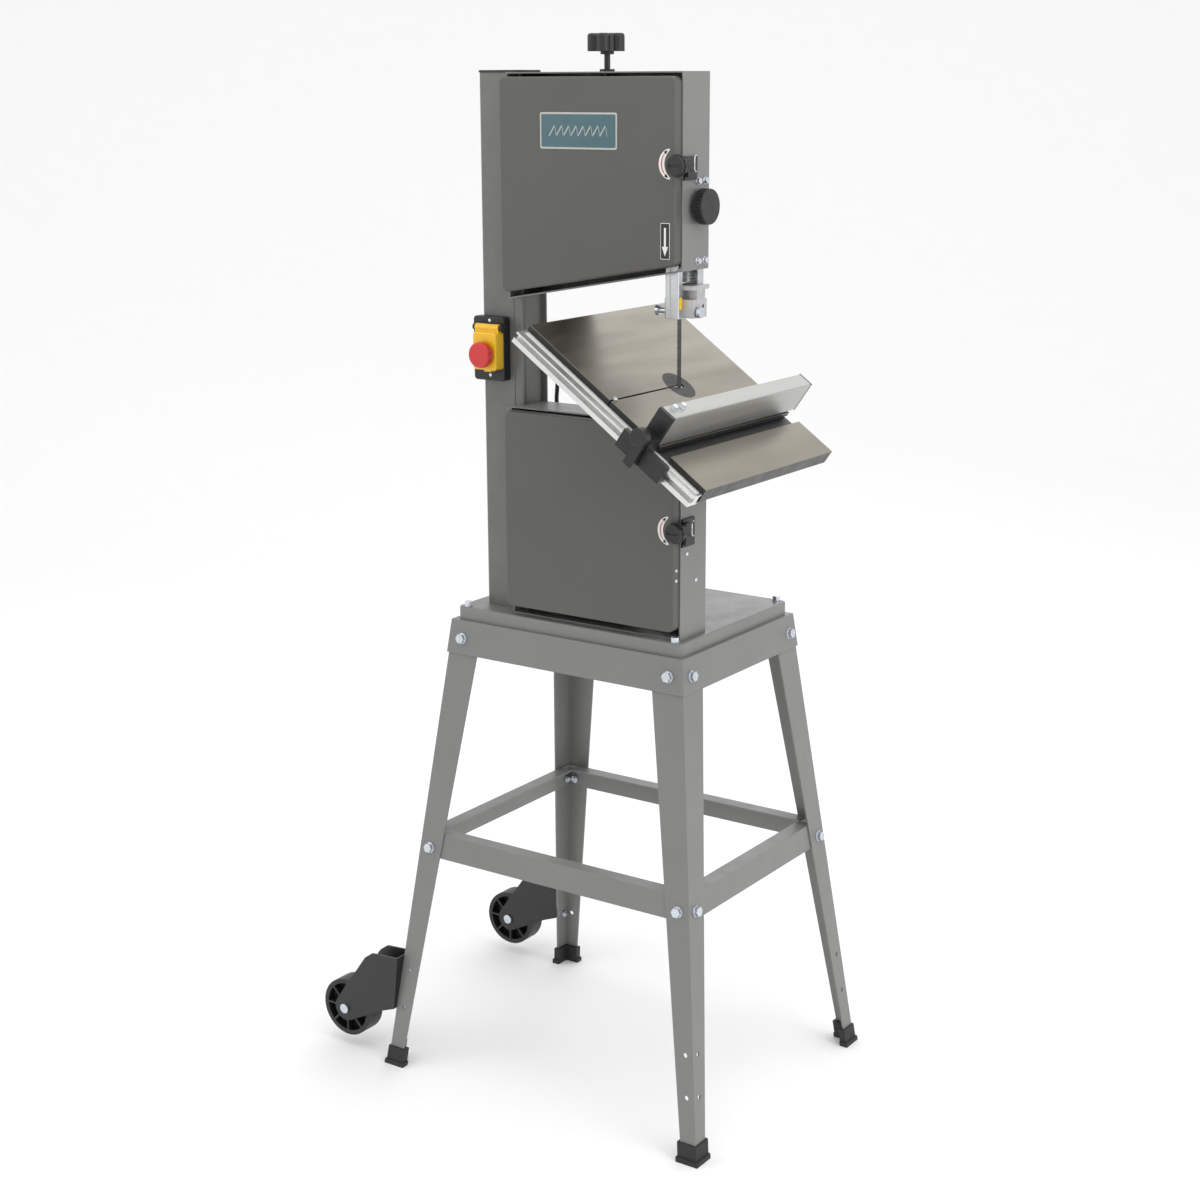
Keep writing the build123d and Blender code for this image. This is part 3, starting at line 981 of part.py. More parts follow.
with BuildPart() as switch_cover:
    block(front(y=COVER_BACK), (COVER_LEFT, COVER_RIGHT), (COVER_LOW, COVER_TOP), COVER_BACK - COVER_FRONT)
    fillet(switch_cover.edges().filter_by(Axis.Y), 4)
    fillet(switch_cover.faces().sort_by(Axis.Y)[0].edges(), 2)
    block(front(y=COVER_BACK), (COVER_LEFT + 3, COVER_RIGHT - 3), (COVER_LOW + 3, COVER_TOP - 3),
          COVER_BACK - COVER_FRONT - 2.5, Mode.SUBTRACT)
    disc(side(COVER_LEFT, COVER_HINGE_Y, COVER_HINGE_Z), COVER_HINGE_R, COVER_RIGHT - COVER_LEFT)
    block(side(COVER_LEFT), (COVER_HINGE_Y - 4, COVER_HINGE_Y + 3), (COVER_TOP - 3, COVER_HINGE_Z),
          COVER_RIGHT - COVER_LEFT)
    disc(side(COVER_LEFT - 1, COVER_HINGE_Y, COVER_HINGE_Z), 1.5 + RUN, 50, Mode.SUBTRACT)
    disc(front(STOP_X, COVER_FRONT + 4, STOP_Z), 5 + RUN, 6, Mode.SUBTRACT)
    block(front(y=-128), (STOP_X - 6, STOP_X + 6), (COVER_LOW - 3, COVER_LOW + 2), 8)
keep(switch_cover, "switch_cover")

with BuildPart() as stop_knob:
    disc(front(STOP_X, COVER_FRONT - 5, STOP_Z), STOP_R, 10)
    fillet(stop_knob.faces().sort_by(Axis.Y)[0].edges(), 3)
    ring(front(STOP_X, COVER_FRONT - 14.9, STOP_Z), 12, 9, 1.2, Mode.SUBTRACT)
    disc(front(STOP_X, COVER_FRONT + 6, STOP_Z), 5, 12)
keep(stop_knob, "stop_knob")

# ---- motor cable from the back of the column, and its glands -----------------------------------
GLAND_X, GLAND_Z = -115.0, 1085.0
CABLE_ROUTE = (
    (GLAND_X, COLUMN_BACK + 12, GLAND_Z),
    (GLAND_X, -32, GLAND_Z),
    (-111, -14, 1074),
    (-106, -10, 1050),
    (-104, -12, 1020),
    (-107, -13, 988),
    (-98, -8, 957),
    (-74, 3, 932),
    (-50, 9, 912),
    (MOTOR_X, 10, 891),
    (MOTOR_X, 10, BOX_TOP_Z + GLAND_LONG),
)


def turn_radii(points):
    """Bend radius at each inner point of a route, from its shorter run and its turn."""
    radii = []
    for before, here, after in zip(points, points[1:], points[2:]):
        run_in, run_out = Vector(*here) - Vector(*before), Vector(*after) - Vector(*here)
        half_turn = radians(run_in.get_angle(run_out)) / 2
        radii.append(0.45 * min(run_in.length, run_out.length) / tan(half_turn))
    return radii


cable_points = [place(*point) for point in CABLE_ROUTE]
cable_radii = turn_radii(cable_points)
with BuildPart() as motor_cable:
    with BuildLine() as cable_path:
        FilletPolyline(*cable_points, radius=cable_radii)
    with BuildSketch(cable_path.line ^ 0):
        Circle(CABLE_R)
    sweep(path=cable_path.line)
keep(motor_cable, "motor_cable")
print("cable radii mm:", [round(r, 1) for r in cable_radii])
cable_long = sum(edge.length for edge in cable_path.edges())
print("cable length mm:", round(cable_long, 1))
print("cable volume against section times length:",
      round(motor_cable.part.volume / (pi * CABLE_R ** 2 * cable_long), 4))

with BuildPart() as cable_glands:
    for radius, reach in ((GLAND_R, 7.0), (GLAND_R - 2.5, 12.0)):
        disc(front(GLAND_X, COLUMN_BACK + reach, GLAND_Z), radius, reach)
    for radius, reach in GLAND_SIZES:
        disc(flat(MOTOR_X, 10, BOX_TOP_Z), radius, reach)
keep(cable_glands, "cable_glands")

# ---- dust outlet on the back of the lower housing -------------------------------------------------
PORT_LONG = 45.0
with BuildPart() as dust_port:
    disc(front(PORT_X, HOUSING_BACK + 4, PORT_Z), PORT_R + 8, 4)
    disc(front(PORT_X, HOUSING_BACK + PORT_LONG, PORT_Z), PORT_R, PORT_LONG)
    disc(front(PORT_X, HOUSING_BACK + PORT_LONG + 1, PORT_Z), PORT_R - 3, PORT_LONG + 4, Mode.SUBTRACT)
keep(dust_port, "dust_port")
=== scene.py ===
"""Band saw on a floor stand: surfaces, finishes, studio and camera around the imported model."""
import json
from math import cos, pi, radians, sin

import bmesh
import bpy
import numpy as np
from mathutils import Matrix, Vector


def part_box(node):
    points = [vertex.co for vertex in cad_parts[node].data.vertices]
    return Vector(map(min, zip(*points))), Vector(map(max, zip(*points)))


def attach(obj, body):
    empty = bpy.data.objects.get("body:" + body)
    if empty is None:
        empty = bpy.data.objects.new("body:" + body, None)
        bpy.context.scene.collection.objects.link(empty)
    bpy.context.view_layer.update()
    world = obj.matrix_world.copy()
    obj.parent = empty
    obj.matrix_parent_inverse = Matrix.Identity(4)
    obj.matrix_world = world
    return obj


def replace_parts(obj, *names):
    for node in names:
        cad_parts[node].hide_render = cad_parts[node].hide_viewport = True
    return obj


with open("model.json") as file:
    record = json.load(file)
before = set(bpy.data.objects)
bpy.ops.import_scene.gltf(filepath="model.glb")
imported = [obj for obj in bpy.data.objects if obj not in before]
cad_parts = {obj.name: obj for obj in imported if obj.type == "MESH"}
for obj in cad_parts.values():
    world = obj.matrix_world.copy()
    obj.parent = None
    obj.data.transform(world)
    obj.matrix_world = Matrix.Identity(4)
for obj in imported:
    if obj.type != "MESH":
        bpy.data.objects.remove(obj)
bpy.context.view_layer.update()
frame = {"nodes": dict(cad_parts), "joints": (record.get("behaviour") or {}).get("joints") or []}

# ---- Viewpoint -------------------------------------------------------------------------
# The saw is seen from its front right, a little above the table, through a long lens.
# Everything is measured from the middle of the base tray, which is the middle of the stand.
MM = 1000  # millimetres in a metre
tray_low, tray_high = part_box("base_tray")
STAND_MIDDLE = Vector(((tray_low.x + tray_high.x) / 2, (tray_low.y + tray_high.y) / 2, 0))


def spot(x, y, z):
    """A point in millimetres from the middle of the stand, turned into the model's metres."""
    return STAND_MIDDLE + Vector((x, y, z)) / MM


YAW, PITCH, ROLL = radians(34.64), radians(-14.30), radians(-0.24)
SENSOR, LENS, VIEWED_FROM = 36, 61.28, (1597.3, -2370.5, 1440.2)
ahead = Vector((-sin(YAW) * cos(PITCH), cos(YAW) * cos(PITCH), sin(PITCH)))
level = Vector((cos(YAW), sin(YAW), 0))
over = level.cross(ahead)
right = cos(ROLL) * level + sin(ROLL) * over
up = cos(ROLL) * over - sin(ROLL) * level
viewer = bpy.data.objects.new("viewer", bpy.data.cameras.new("viewer"))
viewer.data.sensor_width = SENSOR
viewer.data.lens = LENS
viewer.matrix_world = Matrix((right, up, -ahead)).transposed().to_4x4()
viewer.location = spot(*VIEWED_FROM)
bpy.context.scene.collection.objects.link(viewer)
bpy.context.scene.camera = viewer

# ---- Motor cable -----------------------------------------------------------------------
# A rubber-sheathed lead from the gland behind the column down to the motor's terminal box.
# It is clamped at both ends and hangs between them in a shallow S.
CABLE_ROUTE = (
    (-115, -52, 1085), (-115, -32, 1085), (-111, -14, 1074), (-106, -10, 1050), (-104, -12, 1020),
    (-107, -13, 988), (-98, -8, 957), (-74, 3, 932), (-50, 9, 912), (-40, 10, 891), (-40, 10, 872))
CABLE_ACROSS, CABLE_LENGTH = 0.006, 0.267
cable_line = bpy.data.curves.new("motor_lead", "CURVE")
cable_line.dimensions = "3D"
cable_line.bevel_depth = 1.0  # each point's own radius gives the thickness
cable_line.bevel_resolution = 5
cable_line.resolution_u = 10
cable_spline = cable_line.splines.new("NURBS")
cable_spline.points.add(len(CABLE_ROUTE) - 1)
for control, place in zip(cable_spline.points, CABLE_ROUTE):
    control.co = (*spot(*place), 1)
    control.radius = CABLE_ACROSS / 2
cable_spline.order_u = 3
cable_spline.use_endpoint_u = True
cable = bpy.data.objects.new("motor_lead", cable_line)
bpy.context.scene.collection.objects.link(cable)
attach(cable, "frame")
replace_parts(cable, "motor_cable")


def finish(name, colour, rough, metal=0.0, mottle=0.05, mottle_size=14.0, grain=0.02, grain_size=900.0,
           stretch=(1, 1, 1), turn=(0, 0, 0), edge_highlight=None, edge=0.0008, rough_swing=0.07, coat=0.0):
    """Finish of one material: its colour drifts with broad noise, its roughness with finer noise, its
    relief is fine noise stretched along the grain, and its edges are rounded and painted lighter in patches
    as a highlight."""
    noise_low, noise_high = 0.3, 0.7          # most of a noise's values lie between these
    highlight_starts, highlight_full = 0.985, 0.90        # cosines of the edge's turn, where the painted edge highlight starts and is full
    highlight_patches, coat_rough, edge_samples = 90, 0.25, 4
    material = bpy.data.materials.new(name)
    material.use_nodes = True
    nodes, links = material.node_tree.nodes, material.node_tree.links
    shader = nodes["Principled BSDF"]
    shader.inputs["Metallic"].default_value = metal
    shader.inputs["Coat Weight"].default_value = coat
    shader.inputs["Coat Roughness"].default_value = coat_rough
    place = nodes.new("ShaderNodeTexCoord")
    lie = nodes.new("ShaderNodeMapping")
    lie.inputs["Rotation"].default_value = turn
    lie.inputs["Scale"].default_value = stretch
    links.new(place.outputs["Object"], lie.inputs["Vector"])

    def noise(scale, detail):
        """Noise over the piece, finer with a larger scale, with that many finer layers on it."""
        made = nodes.new("ShaderNodeTexNoise")
        made.inputs["Scale"].default_value = scale
        made.inputs["Detail"].default_value = detail
        links.new(lie.outputs["Vector"], made.inputs["Vector"])
        return made.outputs["Fac"]

    def spread(value, low, high, to_low=0.0, to_high=1.0):
        """Value carried in a straight line from one range to another, and held at its ends."""
        made = nodes.new("ShaderNodeMapRange")
        ends = {"From Min": low, "From Max": high, "To Min": to_low, "To Max": to_high}
        for socket, number in ends.items():
            made.inputs[socket].default_value = number
        links.new(value, made.inputs["Value"])
        return made.outputs["Result"]

    def blend(amount, first, second):
        """Colour that goes from the first to the second with the amount."""
        mixed = nodes.new("ShaderNodeMix")
        mixed.data_type = "RGBA"
        links.new(amount, mixed.inputs["Factor"])
        for socket, value in ((mixed.inputs["A"], first), (mixed.inputs["B"], second)):
            if isinstance(value, tuple):
                socket.default_value = (*value, 1)
            else:
                links.new(value, socket)
        return mixed.outputs["Result"]

    darker = tuple(c * (1 - mottle) for c in colour)
    lighter = tuple(min(1, c * (1 + mottle)) for c in colour)
    tone = blend(spread(noise(mottle_size, 6), noise_low, noise_high), darker, lighter)
    bevel = nodes.new("ShaderNodeBevel")
    bevel.samples = edge_samples
    bevel.inputs["Radius"].default_value = edge
    # Painted highlight: the edges are painted lighter with the given edge colour, in patches of noise.
    if edge_highlight:
        solid = nodes.new("ShaderNodeNewGeometry")
        likeness = nodes.new("ShaderNodeVectorMath")
        likeness.operation = "DOT_PRODUCT"
        links.new(bevel.outputs["Normal"], likeness.inputs[0])
        links.new(solid.outputs["Normal"], likeness.inputs[1])
        highlight_amount = nodes.new("ShaderNodeMath")
        highlight_amount.operation = "MULTIPLY"
        links.new(spread(likeness.outputs["Value"], highlight_starts, highlight_full), highlight_amount.inputs[0])
        links.new(noise(highlight_patches, 3), highlight_amount.inputs[1])
        tone = blend(highlight_amount.outputs["Value"], tone, edge_highlight)
    links.new(tone, shader.inputs["Base Color"])
    smears = noise(mottle_size * 4, 5)
    links.new(spread(smears, noise_low, noise_high, rough - rough_swing, rough + rough_swing),
              shader.inputs["Roughness"])
    relief = nodes.new("ShaderNodeBump")
    relief.inputs["Strength"].default_value = 1.0
    relief.inputs["Distance"].default_value = grain / MM
    links.new(noise(grain_size, 3), relief.inputs["Height"])
    links.new(bevel.outputs["Normal"], relief.inputs["Normal"])
    links.new(relief.outputs["Normal"], shader.inputs["Normal"])
    return material


def dress(material, *names):
    """Give a finish to CAD nodes, whose shape stays as it is."""
    for name in names:
        made = frame["nodes"][name].data.materials
        made.clear()
        made.append(material)


cable_line.materials.append(finish("cable_sheath", (0.018, 0.018, 0.019), 0.5, grain=0.03))

# ---- Stand, base tray and housings -------------------------------------------------------
# Folded sheet steel with a light grey powder coat, semi-gloss, with a fine orange-peel.
# The stand is bolted together, and the saw's pans are welded to its column. Bolts and the metal
# inside the machine are zinc plated, and the column has a slightly hammered enamel.
# The powder coat's and the column enamel's edges carry a painted highlight, a lighter colour along them.
powder = finish("powder_coat", (0.172, 0.175, 0.168), 0.40, mottle=0.035, mottle_size=9, grain=0.035,
                grain_size=520, edge_highlight=(0.32, 0.32, 0.31), edge=0.0012, coat=0.15)
dress(powder, "legs", "apron_panels", "braces", "base_tray", "upper_housing", "lower_housing", "hinge_pins",
      "motor")
hammered = finish("hammered_enamel", (0.122, 0.124, 0.116), 0.38, mottle=0.06, mottle_size=60, grain=0.10,
                  grain_size=170, edge_highlight=(0.26, 0.26, 0.25), edge=0.0015, coat=0.2)
dress(hammered, "column")
bare_zinc = finish("zinc_plate", (0.62, 0.65, 0.70), 0.28, metal=1.0, mottle=0.10, mottle_size=120,
                   grain=0.01, grain_size=1500, edge=0.0005)
dress(bare_zinc, "stand_bolts", "wheel_carriage", "lower_axle", "tension_spring", "motor_pulley",
      "guide_pins", "guide_bearing", "tilt_lock")

# ---- Wheel brackets, boots and transport wheels ---------------------------------------------
# The brackets and the doors' keepers are black painted plate, the boots are pushed-on rubber, and
# the wheels are spoked mouldings with a matt tread; the paint's and the wheels' edges are painted lighter as
# a highlight.
black_paint = finish("black_paint", (0.012, 0.012, 0.013), 0.36, mottle=0.2, grain=0.03, grain_size=500,
                     edge_highlight=(0.05, 0.05, 0.05))
dress(black_paint, "wheel_brackets", "latch_keepers")
black_rubber = finish("black_rubber", (0.013, 0.013, 0.013), 0.62, mottle=0.3, mottle_size=40, grain=0.05,
                      grain_size=700)
dress(black_rubber, "foot_boots", "upper_tyre", "lower_tyre", "drive_belt")
wheel_moulding = finish("wheel_moulding", (0.010, 0.010, 0.011), 0.45, mottle=0.35, mottle_size=50,
                        grain=0.03, edge_highlight=(0.06, 0.06, 0.06))
dress(wheel_moulding, "transport_wheel_front", "transport_wheel_back")

# ---- Doors --------------------------------------------------------------------------------
# Two pressed doors in a satin dark grey coat, finely textured. Each hangs on pins at the column
# and is held shut by the latch at its other side.
# The doors' edges carry a painted highlight, a lighter colour along them.
door_coat = finish("door_coat", (0.080, 0.079, 0.071), 0.46, mottle=0.05, mottle_size=7, grain=0.05,
                   grain_size=800, edge_highlight=(0.2, 0.2, 0.19), edge=0.0015)
dress(door_coat, "upper_door", "lower_door")

# ---- Black mouldings -------------------------------------------------------------------------
# Caps, knobs, latches, fence clamp, dust outlet and switch plate: moulded black plastic with a
# fine sparked texture, with a painted highlight a little lighter along its edges.
moulding = finish("black_moulding", (0.011, 0.011, 0.012), 0.42, mottle=0.25, mottle_size=45, grain=0.05,
                  grain_size=1100, edge_highlight=(0.045, 0.045, 0.045), edge=0.0008)
dress(moulding, "column_cap", "upper_latch_knob", "lower_latch_knob", "upper_latch_base", "lower_latch_base",
      "tension_knob", "tracking_knob", "guide_knob", "fence_head", "fence_lever", "fence_end_cap",
      "switch_plate", "cable_glands", "dust_port")

# ---- Table -----------------------------------------------------------------------------------
# A cast table ground along its depth, so that its top is bright with fine lines across the
# blade, and painted black on its sides, in its slot and underneath. It is stored tilted.
TILT, GROUND_DEPTH = radians(35), 0.0007
ALONG = Vector((cos(TILT), 0, -sin(TILT)))
UPRIGHT = Vector((sin(TILT), 0, cos(TILT)))
blade_at_table = next(Vector(j["pos_m"]) for j in frame["joints"] if j["name"] == "table_tilt")


def on_table(s, t, h):
    """A point along, across and above the table in millimetres, from the blade at its surface."""
    return blade_at_table + (ALONG * s + Vector((0, t, 0)) + UPRIGHT * h) / MM


def split_by_height(first, second, direction, limit):
    """One material that is the first finish where a point lies beyond a plane, else the second: the
    distance is the dot product of the Object coordinates with the plane's direction. The first
    finish's nodes are copied beside the second's, and a mix on that test joins the two."""
    joined = second.copy()
    joined.name = first.name + "_on_" + second.name
    nodes, links = joined.node_tree.nodes, joined.node_tree.links
    output = next(n for n in nodes if n.type == "OUTPUT_MATERIAL")
    below = next(n for n in nodes if n.type == "BSDF_PRINCIPLED")
    twins = {}
    for node in first.node_tree.nodes:
        if node.type == "OUTPUT_MATERIAL":
            continue
        twin = nodes.new(node.bl_idname)
        for prop in ("operation", "data_type", "samples"):
            if hasattr(node, prop):
                setattr(twin, prop, getattr(node, prop))
        for ours, theirs in zip(twin.inputs, node.inputs):
            if hasattr(theirs, "default_value"):
                ours.default_value = theirs.default_value
        twins[node] = twin
    for link in first.node_tree.links:
        if link.to_node in twins and link.from_node in twins:
            place_out = list(link.from_node.outputs).index(link.from_socket)
            place_in = list(link.to_node.inputs).index(link.to_socket)
            links.new(twins[link.from_node].outputs[place_out], twins[link.to_node].inputs[place_in])
    above = next(twin for node, twin in twins.items() if node.type == "BSDF_PRINCIPLED")
    place = nodes.new("ShaderNodeTexCoord")
    reach = nodes.new("ShaderNodeVectorMath")
    reach.operation = "DOT_PRODUCT"
    reach.inputs[1].default_value = direction
    links.new(place.outputs["Object"], reach.inputs[0])
    beyond = nodes.new("ShaderNodeMath")
    beyond.operation = "GREATER_THAN"
    beyond.inputs[1].default_value = limit
    links.new(reach.outputs["Value"], beyond.inputs[0])
    choice = nodes.new("ShaderNodeMixShader")
    links.new(beyond.outputs["Value"], choice.inputs["Fac"])
    links.new(below.outputs["BSDF"], choice.inputs[1])
    links.new(above.outputs["BSDF"], choice.inputs[2])
    links.new(choice.outputs["Shader"], output.inputs["Surface"])
    return joined


ground_iron = finish("ground_iron", (0.25, 0.232, 0.195), 0.36, metal=1.0, mottle=0.13, mottle_size=7,
                     grain=0.004, grain_size=420, stretch=(1, 0.12, 1), turn=(0, -TILT, 0), edge=0.0006,
                     rough_swing=0.10)
table_finish = split_by_height(ground_iron, black_paint, UPRIGHT, UPRIGHT.dot(blade_at_table) - GROUND_DEPTH)
dress(table_finish, "table")
dress(black_paint, "trunnion_base", "trunnion_shoes")
dull_disc = finish("insert_alloy", (0.055, 0.054, 0.054), 0.5, metal=0.7, mottle=0.15, mottle_size=60,
                   grain=0.02)
dress(dull_disc, "table_insert")

# ---- Rail and fence --------------------------------------------------------------------------
# Extruded aluminium, satin anodised, with faint lines along its length. The rail is bolted to the
# front of the table and the fence is clamped on it.
anodised = finish("anodised", (0.43, 0.43, 0.41), 0.38, metal=0.8, mottle=0.04, mottle_size=20, grain=0.006,
                  grain_size=1300, stretch=(1, 0.03, 1), edge=0.0006)
dress(anodised, "fence_bar")
rail_anodised = finish("rail_anodised", (0.70, 0.70, 0.69), 0.34, metal=0.9, mottle=0.04, mottle_size=20,
                       grain=0.006, grain_size=1300, stretch=(0.03, 1, 1), turn=(0, -TILT, 0), edge=0.0006)
dress(rail_anodised, "rail")

# ---- Band wheels, guides and blade guard -------------------------------------------------------
# The wheels and guide blocks are cast alloy, bead blasted. The post that slides in the upper
# housing and the guard on its front are bright plated.
cast_alloy = finish("cast_alloy", (0.50, 0.50, 0.51), 0.48, metal=0.9, mottle=0.1, mottle_size=80, grain=0.06,
                    grain_size=500)
dress(cast_alloy, "upper_wheel", "lower_wheel", "lower_guide", "guide_holder")
plated = finish("plated_steel", (0.56, 0.57, 0.58), 0.30, metal=1.0, mottle=0.08, mottle_size=60, grain=0.01,
                grain_size=1200)
dress(plated, "guide_post", "blade_guard")

# ---- Switch ----------------------------------------------------------------------------------
# A black plate on the column with two push buttons under a yellow cover that carries a red
# mushroom knob; the cover swings up on a pin.
dress(finish("yellow_moulding", (0.80, 0.47, 0.010), 0.34, mottle=0.05, grain=0.02, coat=0.2), "switch_cover")
dress(finish("red_moulding", (0.55, 0.018, 0.015), 0.30, mottle=0.06, grain=0.02, coat=0.3), "stop_knob",
      "stop_button")
dress(finish("green_moulding", (0.02, 0.22, 0.06), 0.34, mottle=0.06, grain=0.02), "start_button")

# ---- Blade -------------------------------------------------------------------------------------
# One endless band of spring steel, 10 mm wide, that runs over both wheels with its teeth to the
# front: a flat tooth of 4 mm pitch, ground with its steep face leading downwards at the table.
BLADE_FRONT, BLADE_BACK, BLADE_IN, BLADE_OUT = -103.0, -93.0, 127.32, 127.88
WHEELS_AT, WHEEL_TOP, WHEEL_LOW = 28.0, 1312.0, 843.0
TOOTH, GULLET, SET, TEETH_DEEP = 4.0, 1.5, 0.25, 2.4


def skin(name, points, material, body=None, round_u=False, round_v=True):
    """Grid of points made into faces: each cell of the grid is one quad, a round direction joins its
    last row to its first, points that meet are merged, and edges over 35 degrees stay crisp."""
    rows, columns = points.shape[:2]
    row, column = np.meshgrid(np.arange(rows if round_u else rows - 1),
                              np.arange(columns if round_v else columns - 1), indexing="ij")
    row_on, column_on = (row + 1) % rows, (column + 1) % columns
    quads = np.stack([row * columns + column, row_on * columns + column, row_on * columns + column_on,
                      row * columns + column_on], -1).reshape(-1, 4)
    meeting, crisp = 2e-6, radians(35)
    mesh = bpy.data.meshes.new(name)
    mesh.from_pydata(points.reshape(-1, 3), [], quads)
    tidy = bmesh.new()
    tidy.from_mesh(mesh)
    bmesh.ops.remove_doubles(tidy, verts=tidy.verts, dist=meeting)
    bmesh.ops.recalc_face_normals(tidy, faces=tidy.faces)
    tidy.to_mesh(mesh)
    tidy.free()
    mesh.shade_smooth()
    mesh.set_sharp_from_angle(angle=crisp)
    mesh.materials.append(material)
    made = bpy.data.objects.new(name, mesh)
    bpy.context.scene.collection.objects.link(made)
    if body:
        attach(made, body)
    return made


# The teeth are counted along the band, down past the table, round the lower wheel, up and over.
run = WHEEL_TOP - WHEEL_LOW
half_turn = pi * (BLADE_IN + BLADE_OUT) / 2
around = 2 * run + 2 * half_turn
teeth = round(around / TOOTH)
phase = np.array([0.0, 0.30, 0.86, 0.94])
gone = (np.arange(teeth)[:, None] + phase).ravel() / teeth * around
depth = np.tile(np.array([GULLET, GULLET * 0.9, 0.05, 0.0]), teeth)
stretches = [gone < run, gone < run + half_turn, gone < 2 * run + half_turn]
angle = np.select(stretches, [0 * gone, -(gone - run) / half_turn * pi, 0 * gone - pi],
                  -pi - (gone - 2 * run - half_turn) / half_turn * pi)
middle_z = np.select(stretches, [WHEEL_TOP - gone, 0 * gone + WHEEL_LOW, WHEEL_LOW + gone - run - half_turn],
                     0 * gone + WHEEL_TOP)
bent_out = np.where(np.arange(len(gone)) // len(phase) % 2 == 0, SET, -SET) * (depth < SET * 2)


def band_point(reach, y):
    """A point of the band: its wheel's middle, plus the reach along the angle it has turned through."""
    return np.stack([WHEELS_AT + reach * np.cos(angle), 0 * angle + y, middle_z + reach * np.sin(angle)], -1)


band = np.stack([band_point(reach, y) for reach, y in (
    (BLADE_OUT + bent_out, BLADE_FRONT + depth), (BLADE_OUT, BLADE_FRONT + TEETH_DEEP),
    (BLADE_OUT, BLADE_BACK), (BLADE_IN, BLADE_BACK),
    (BLADE_IN, BLADE_FRONT + TEETH_DEEP), (BLADE_IN + bent_out, BLADE_FRONT + depth))], 1)
band_steel = finish("blade_steel", (0.085, 0.085, 0.088), 0.42, metal=1.0, mottle=0.2, mottle_size=60,
                    grain=0.008, grain_size=1500, edge=0.0001)
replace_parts(skin("toothed_blade", np.array(STAND_MIDDLE) + band / MM, band_steel, "frame",
                 round_u=True), "blade")

# ---- Bolt heads, screws and rivets ---------------------------------------------------------------
# Zinc plated six-sided heads on washers hold the guides and the fence; small domed screws and
# rivets hold the plates inside the housings, the keepers, the switch plate and the lower door.
X_OUT, Z_UP, Y_IN = Vector((1, 0, 0)), Vector((0, 0, 1)), Vector((0, 1, 0))


def capped(name, rings, material, body):
    """Skin over a row of rings, whose first and last rings are each drawn in to their mean point."""
    first = np.broadcast_to(rings[:1].mean(1, keepdims=True), rings[:1].shape)
    last = np.broadcast_to(rings[-1:].mean(1, keepdims=True), rings[:1].shape)
    return skin(name, np.concatenate([first, rings, last]), material, body)


def turned(name, seat, out, steps, material, body, sides=36):
    """Turned piece on a seat: each step is a ring with its radius, its height along the outward axis
    and a share of six-sidedness, where a six-sided ring's radius is its flats' share of the round one,
    divided by the cosine of the angle to its nearest flat."""
    flats = 0.92
    steps = np.array(steps, float)
    side = out.cross(Z_UP if abs(out.z) < 0.9 else Y_IN).normalized()
    top = side.cross(out)
    angle = np.arange(sides) * 2 * pi / sides
    flat = np.cos((angle % (pi / 3)) - pi / 6)
    radius = steps[:, :1] * (1 - steps[:, 2:3] + steps[:, 2:3] * flats / flat)
    rings = (np.array(seat) + steps[:, 1, None, None] / MM * np.array(out)
             + radius[..., None] / MM * (np.cos(angle)[:, None] * np.array(side)
                                         + np.sin(angle)[:, None] * np.array(top)))
    return capped(name, rings, material, body)


def hex_head(across, washer):
    """Steps of a washer 1 mm thick with a six-sided head on it, whose crown is chamfered round."""
    half, thick = across / 2, 1.0
    shoulder, crown = thick + half * 0.8, thick + half * 0.95
    return ((washer, 0, 0), (washer, thick * 0.8, 0), (washer - 0.3, thick, 0), (half, thick, 1),
            (half, shoulder, 1), (half * 0.88, crown, 0.15), (half * 0.5, crown, 0))


def dome(radius):
    """Steps of a domed head: radius times the cosine, and half of it times the sine, of a rising angle."""
    rim = 0.2
    return ((radius, 0, 0),
            *((radius * cos(a), radius * 0.5 * sin(a) + rim, 0) for a in np.radians((5, 25, 45, 65, 82))))


def on_side(face, y, z):
    """A point on a side of the machine, whose place across is that face's own."""
    place = spot(0, y, z)
    place.x = face
    return place


HEAD_ACROSS, WASHER, FENCE_WASHER, SCREW, RIVET, FENCE_TOP = 8, 4.8, 5.0, 3.0, 2.6, 47
FLAT_SCREW = ((2.3, 0, 0), (2.3, 0.15, 0), (1.9, 0.4, 0), (0.9, 0.5, 0))
PIN = ((3.4, 0, 0), (3.4, 2.2, 0), (2.8, 2.8, 0), (1.5, 3.0, 0))
side_face, door_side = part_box("lower_housing")[1].x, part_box("lower_door")[1].x
for number, (y, z) in enumerate(((-93.6, 1313), (-76.4, 1313), (-93.6, 1211), (-76.4, 1211)), 1):
    turned(f"housing_bolt_{number}", on_side(side_face, y, z), X_OUT, hex_head(HEAD_ACROSS, WASHER),
           bare_zinc, "frame")
for number, (y, z) in enumerate(((-114, 825), (-91, 784.5)), 1):
    turned(f"housing_screw_{number}", on_side(side_face, y, z), X_OUT, dome(SCREW), bare_zinc, "frame")
for number, z in enumerate((806, 792), 1):
    turned(f"door_rivet_{number}", on_side(door_side, -138, z), X_OUT, dome(RIVET), bare_zinc, "lower_door")
for number, t in enumerate((-149, -130), 1):
    turned(f"fence_bolt_{number}", on_table(74, t, FENCE_TOP), UPRIGHT, hex_head(HEAD_ACROSS, FENCE_WASHER),
           bare_zinc, "fence")
for number, z in enumerate((1119.5, 1044), 1):
    seat = spot(-129, 0, z)
    seat.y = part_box("switch_plate")[0].y
    turned(f"plate_screw_{number}", seat, -Y_IN, FLAT_SCREW, bare_zinc, "frame")
turned("table_pin", on_table(0, -151, 0), UPRIGHT, PIN, bare_zinc, "table")

# ---- Catch wires ----------------------------------------------------------------------------------
# Each keeper carries a bent wire of spring steel that the door's latch draws in behind its nose.
# It comes out of one end of the keeper, crosses in front of it and goes in again at the other.


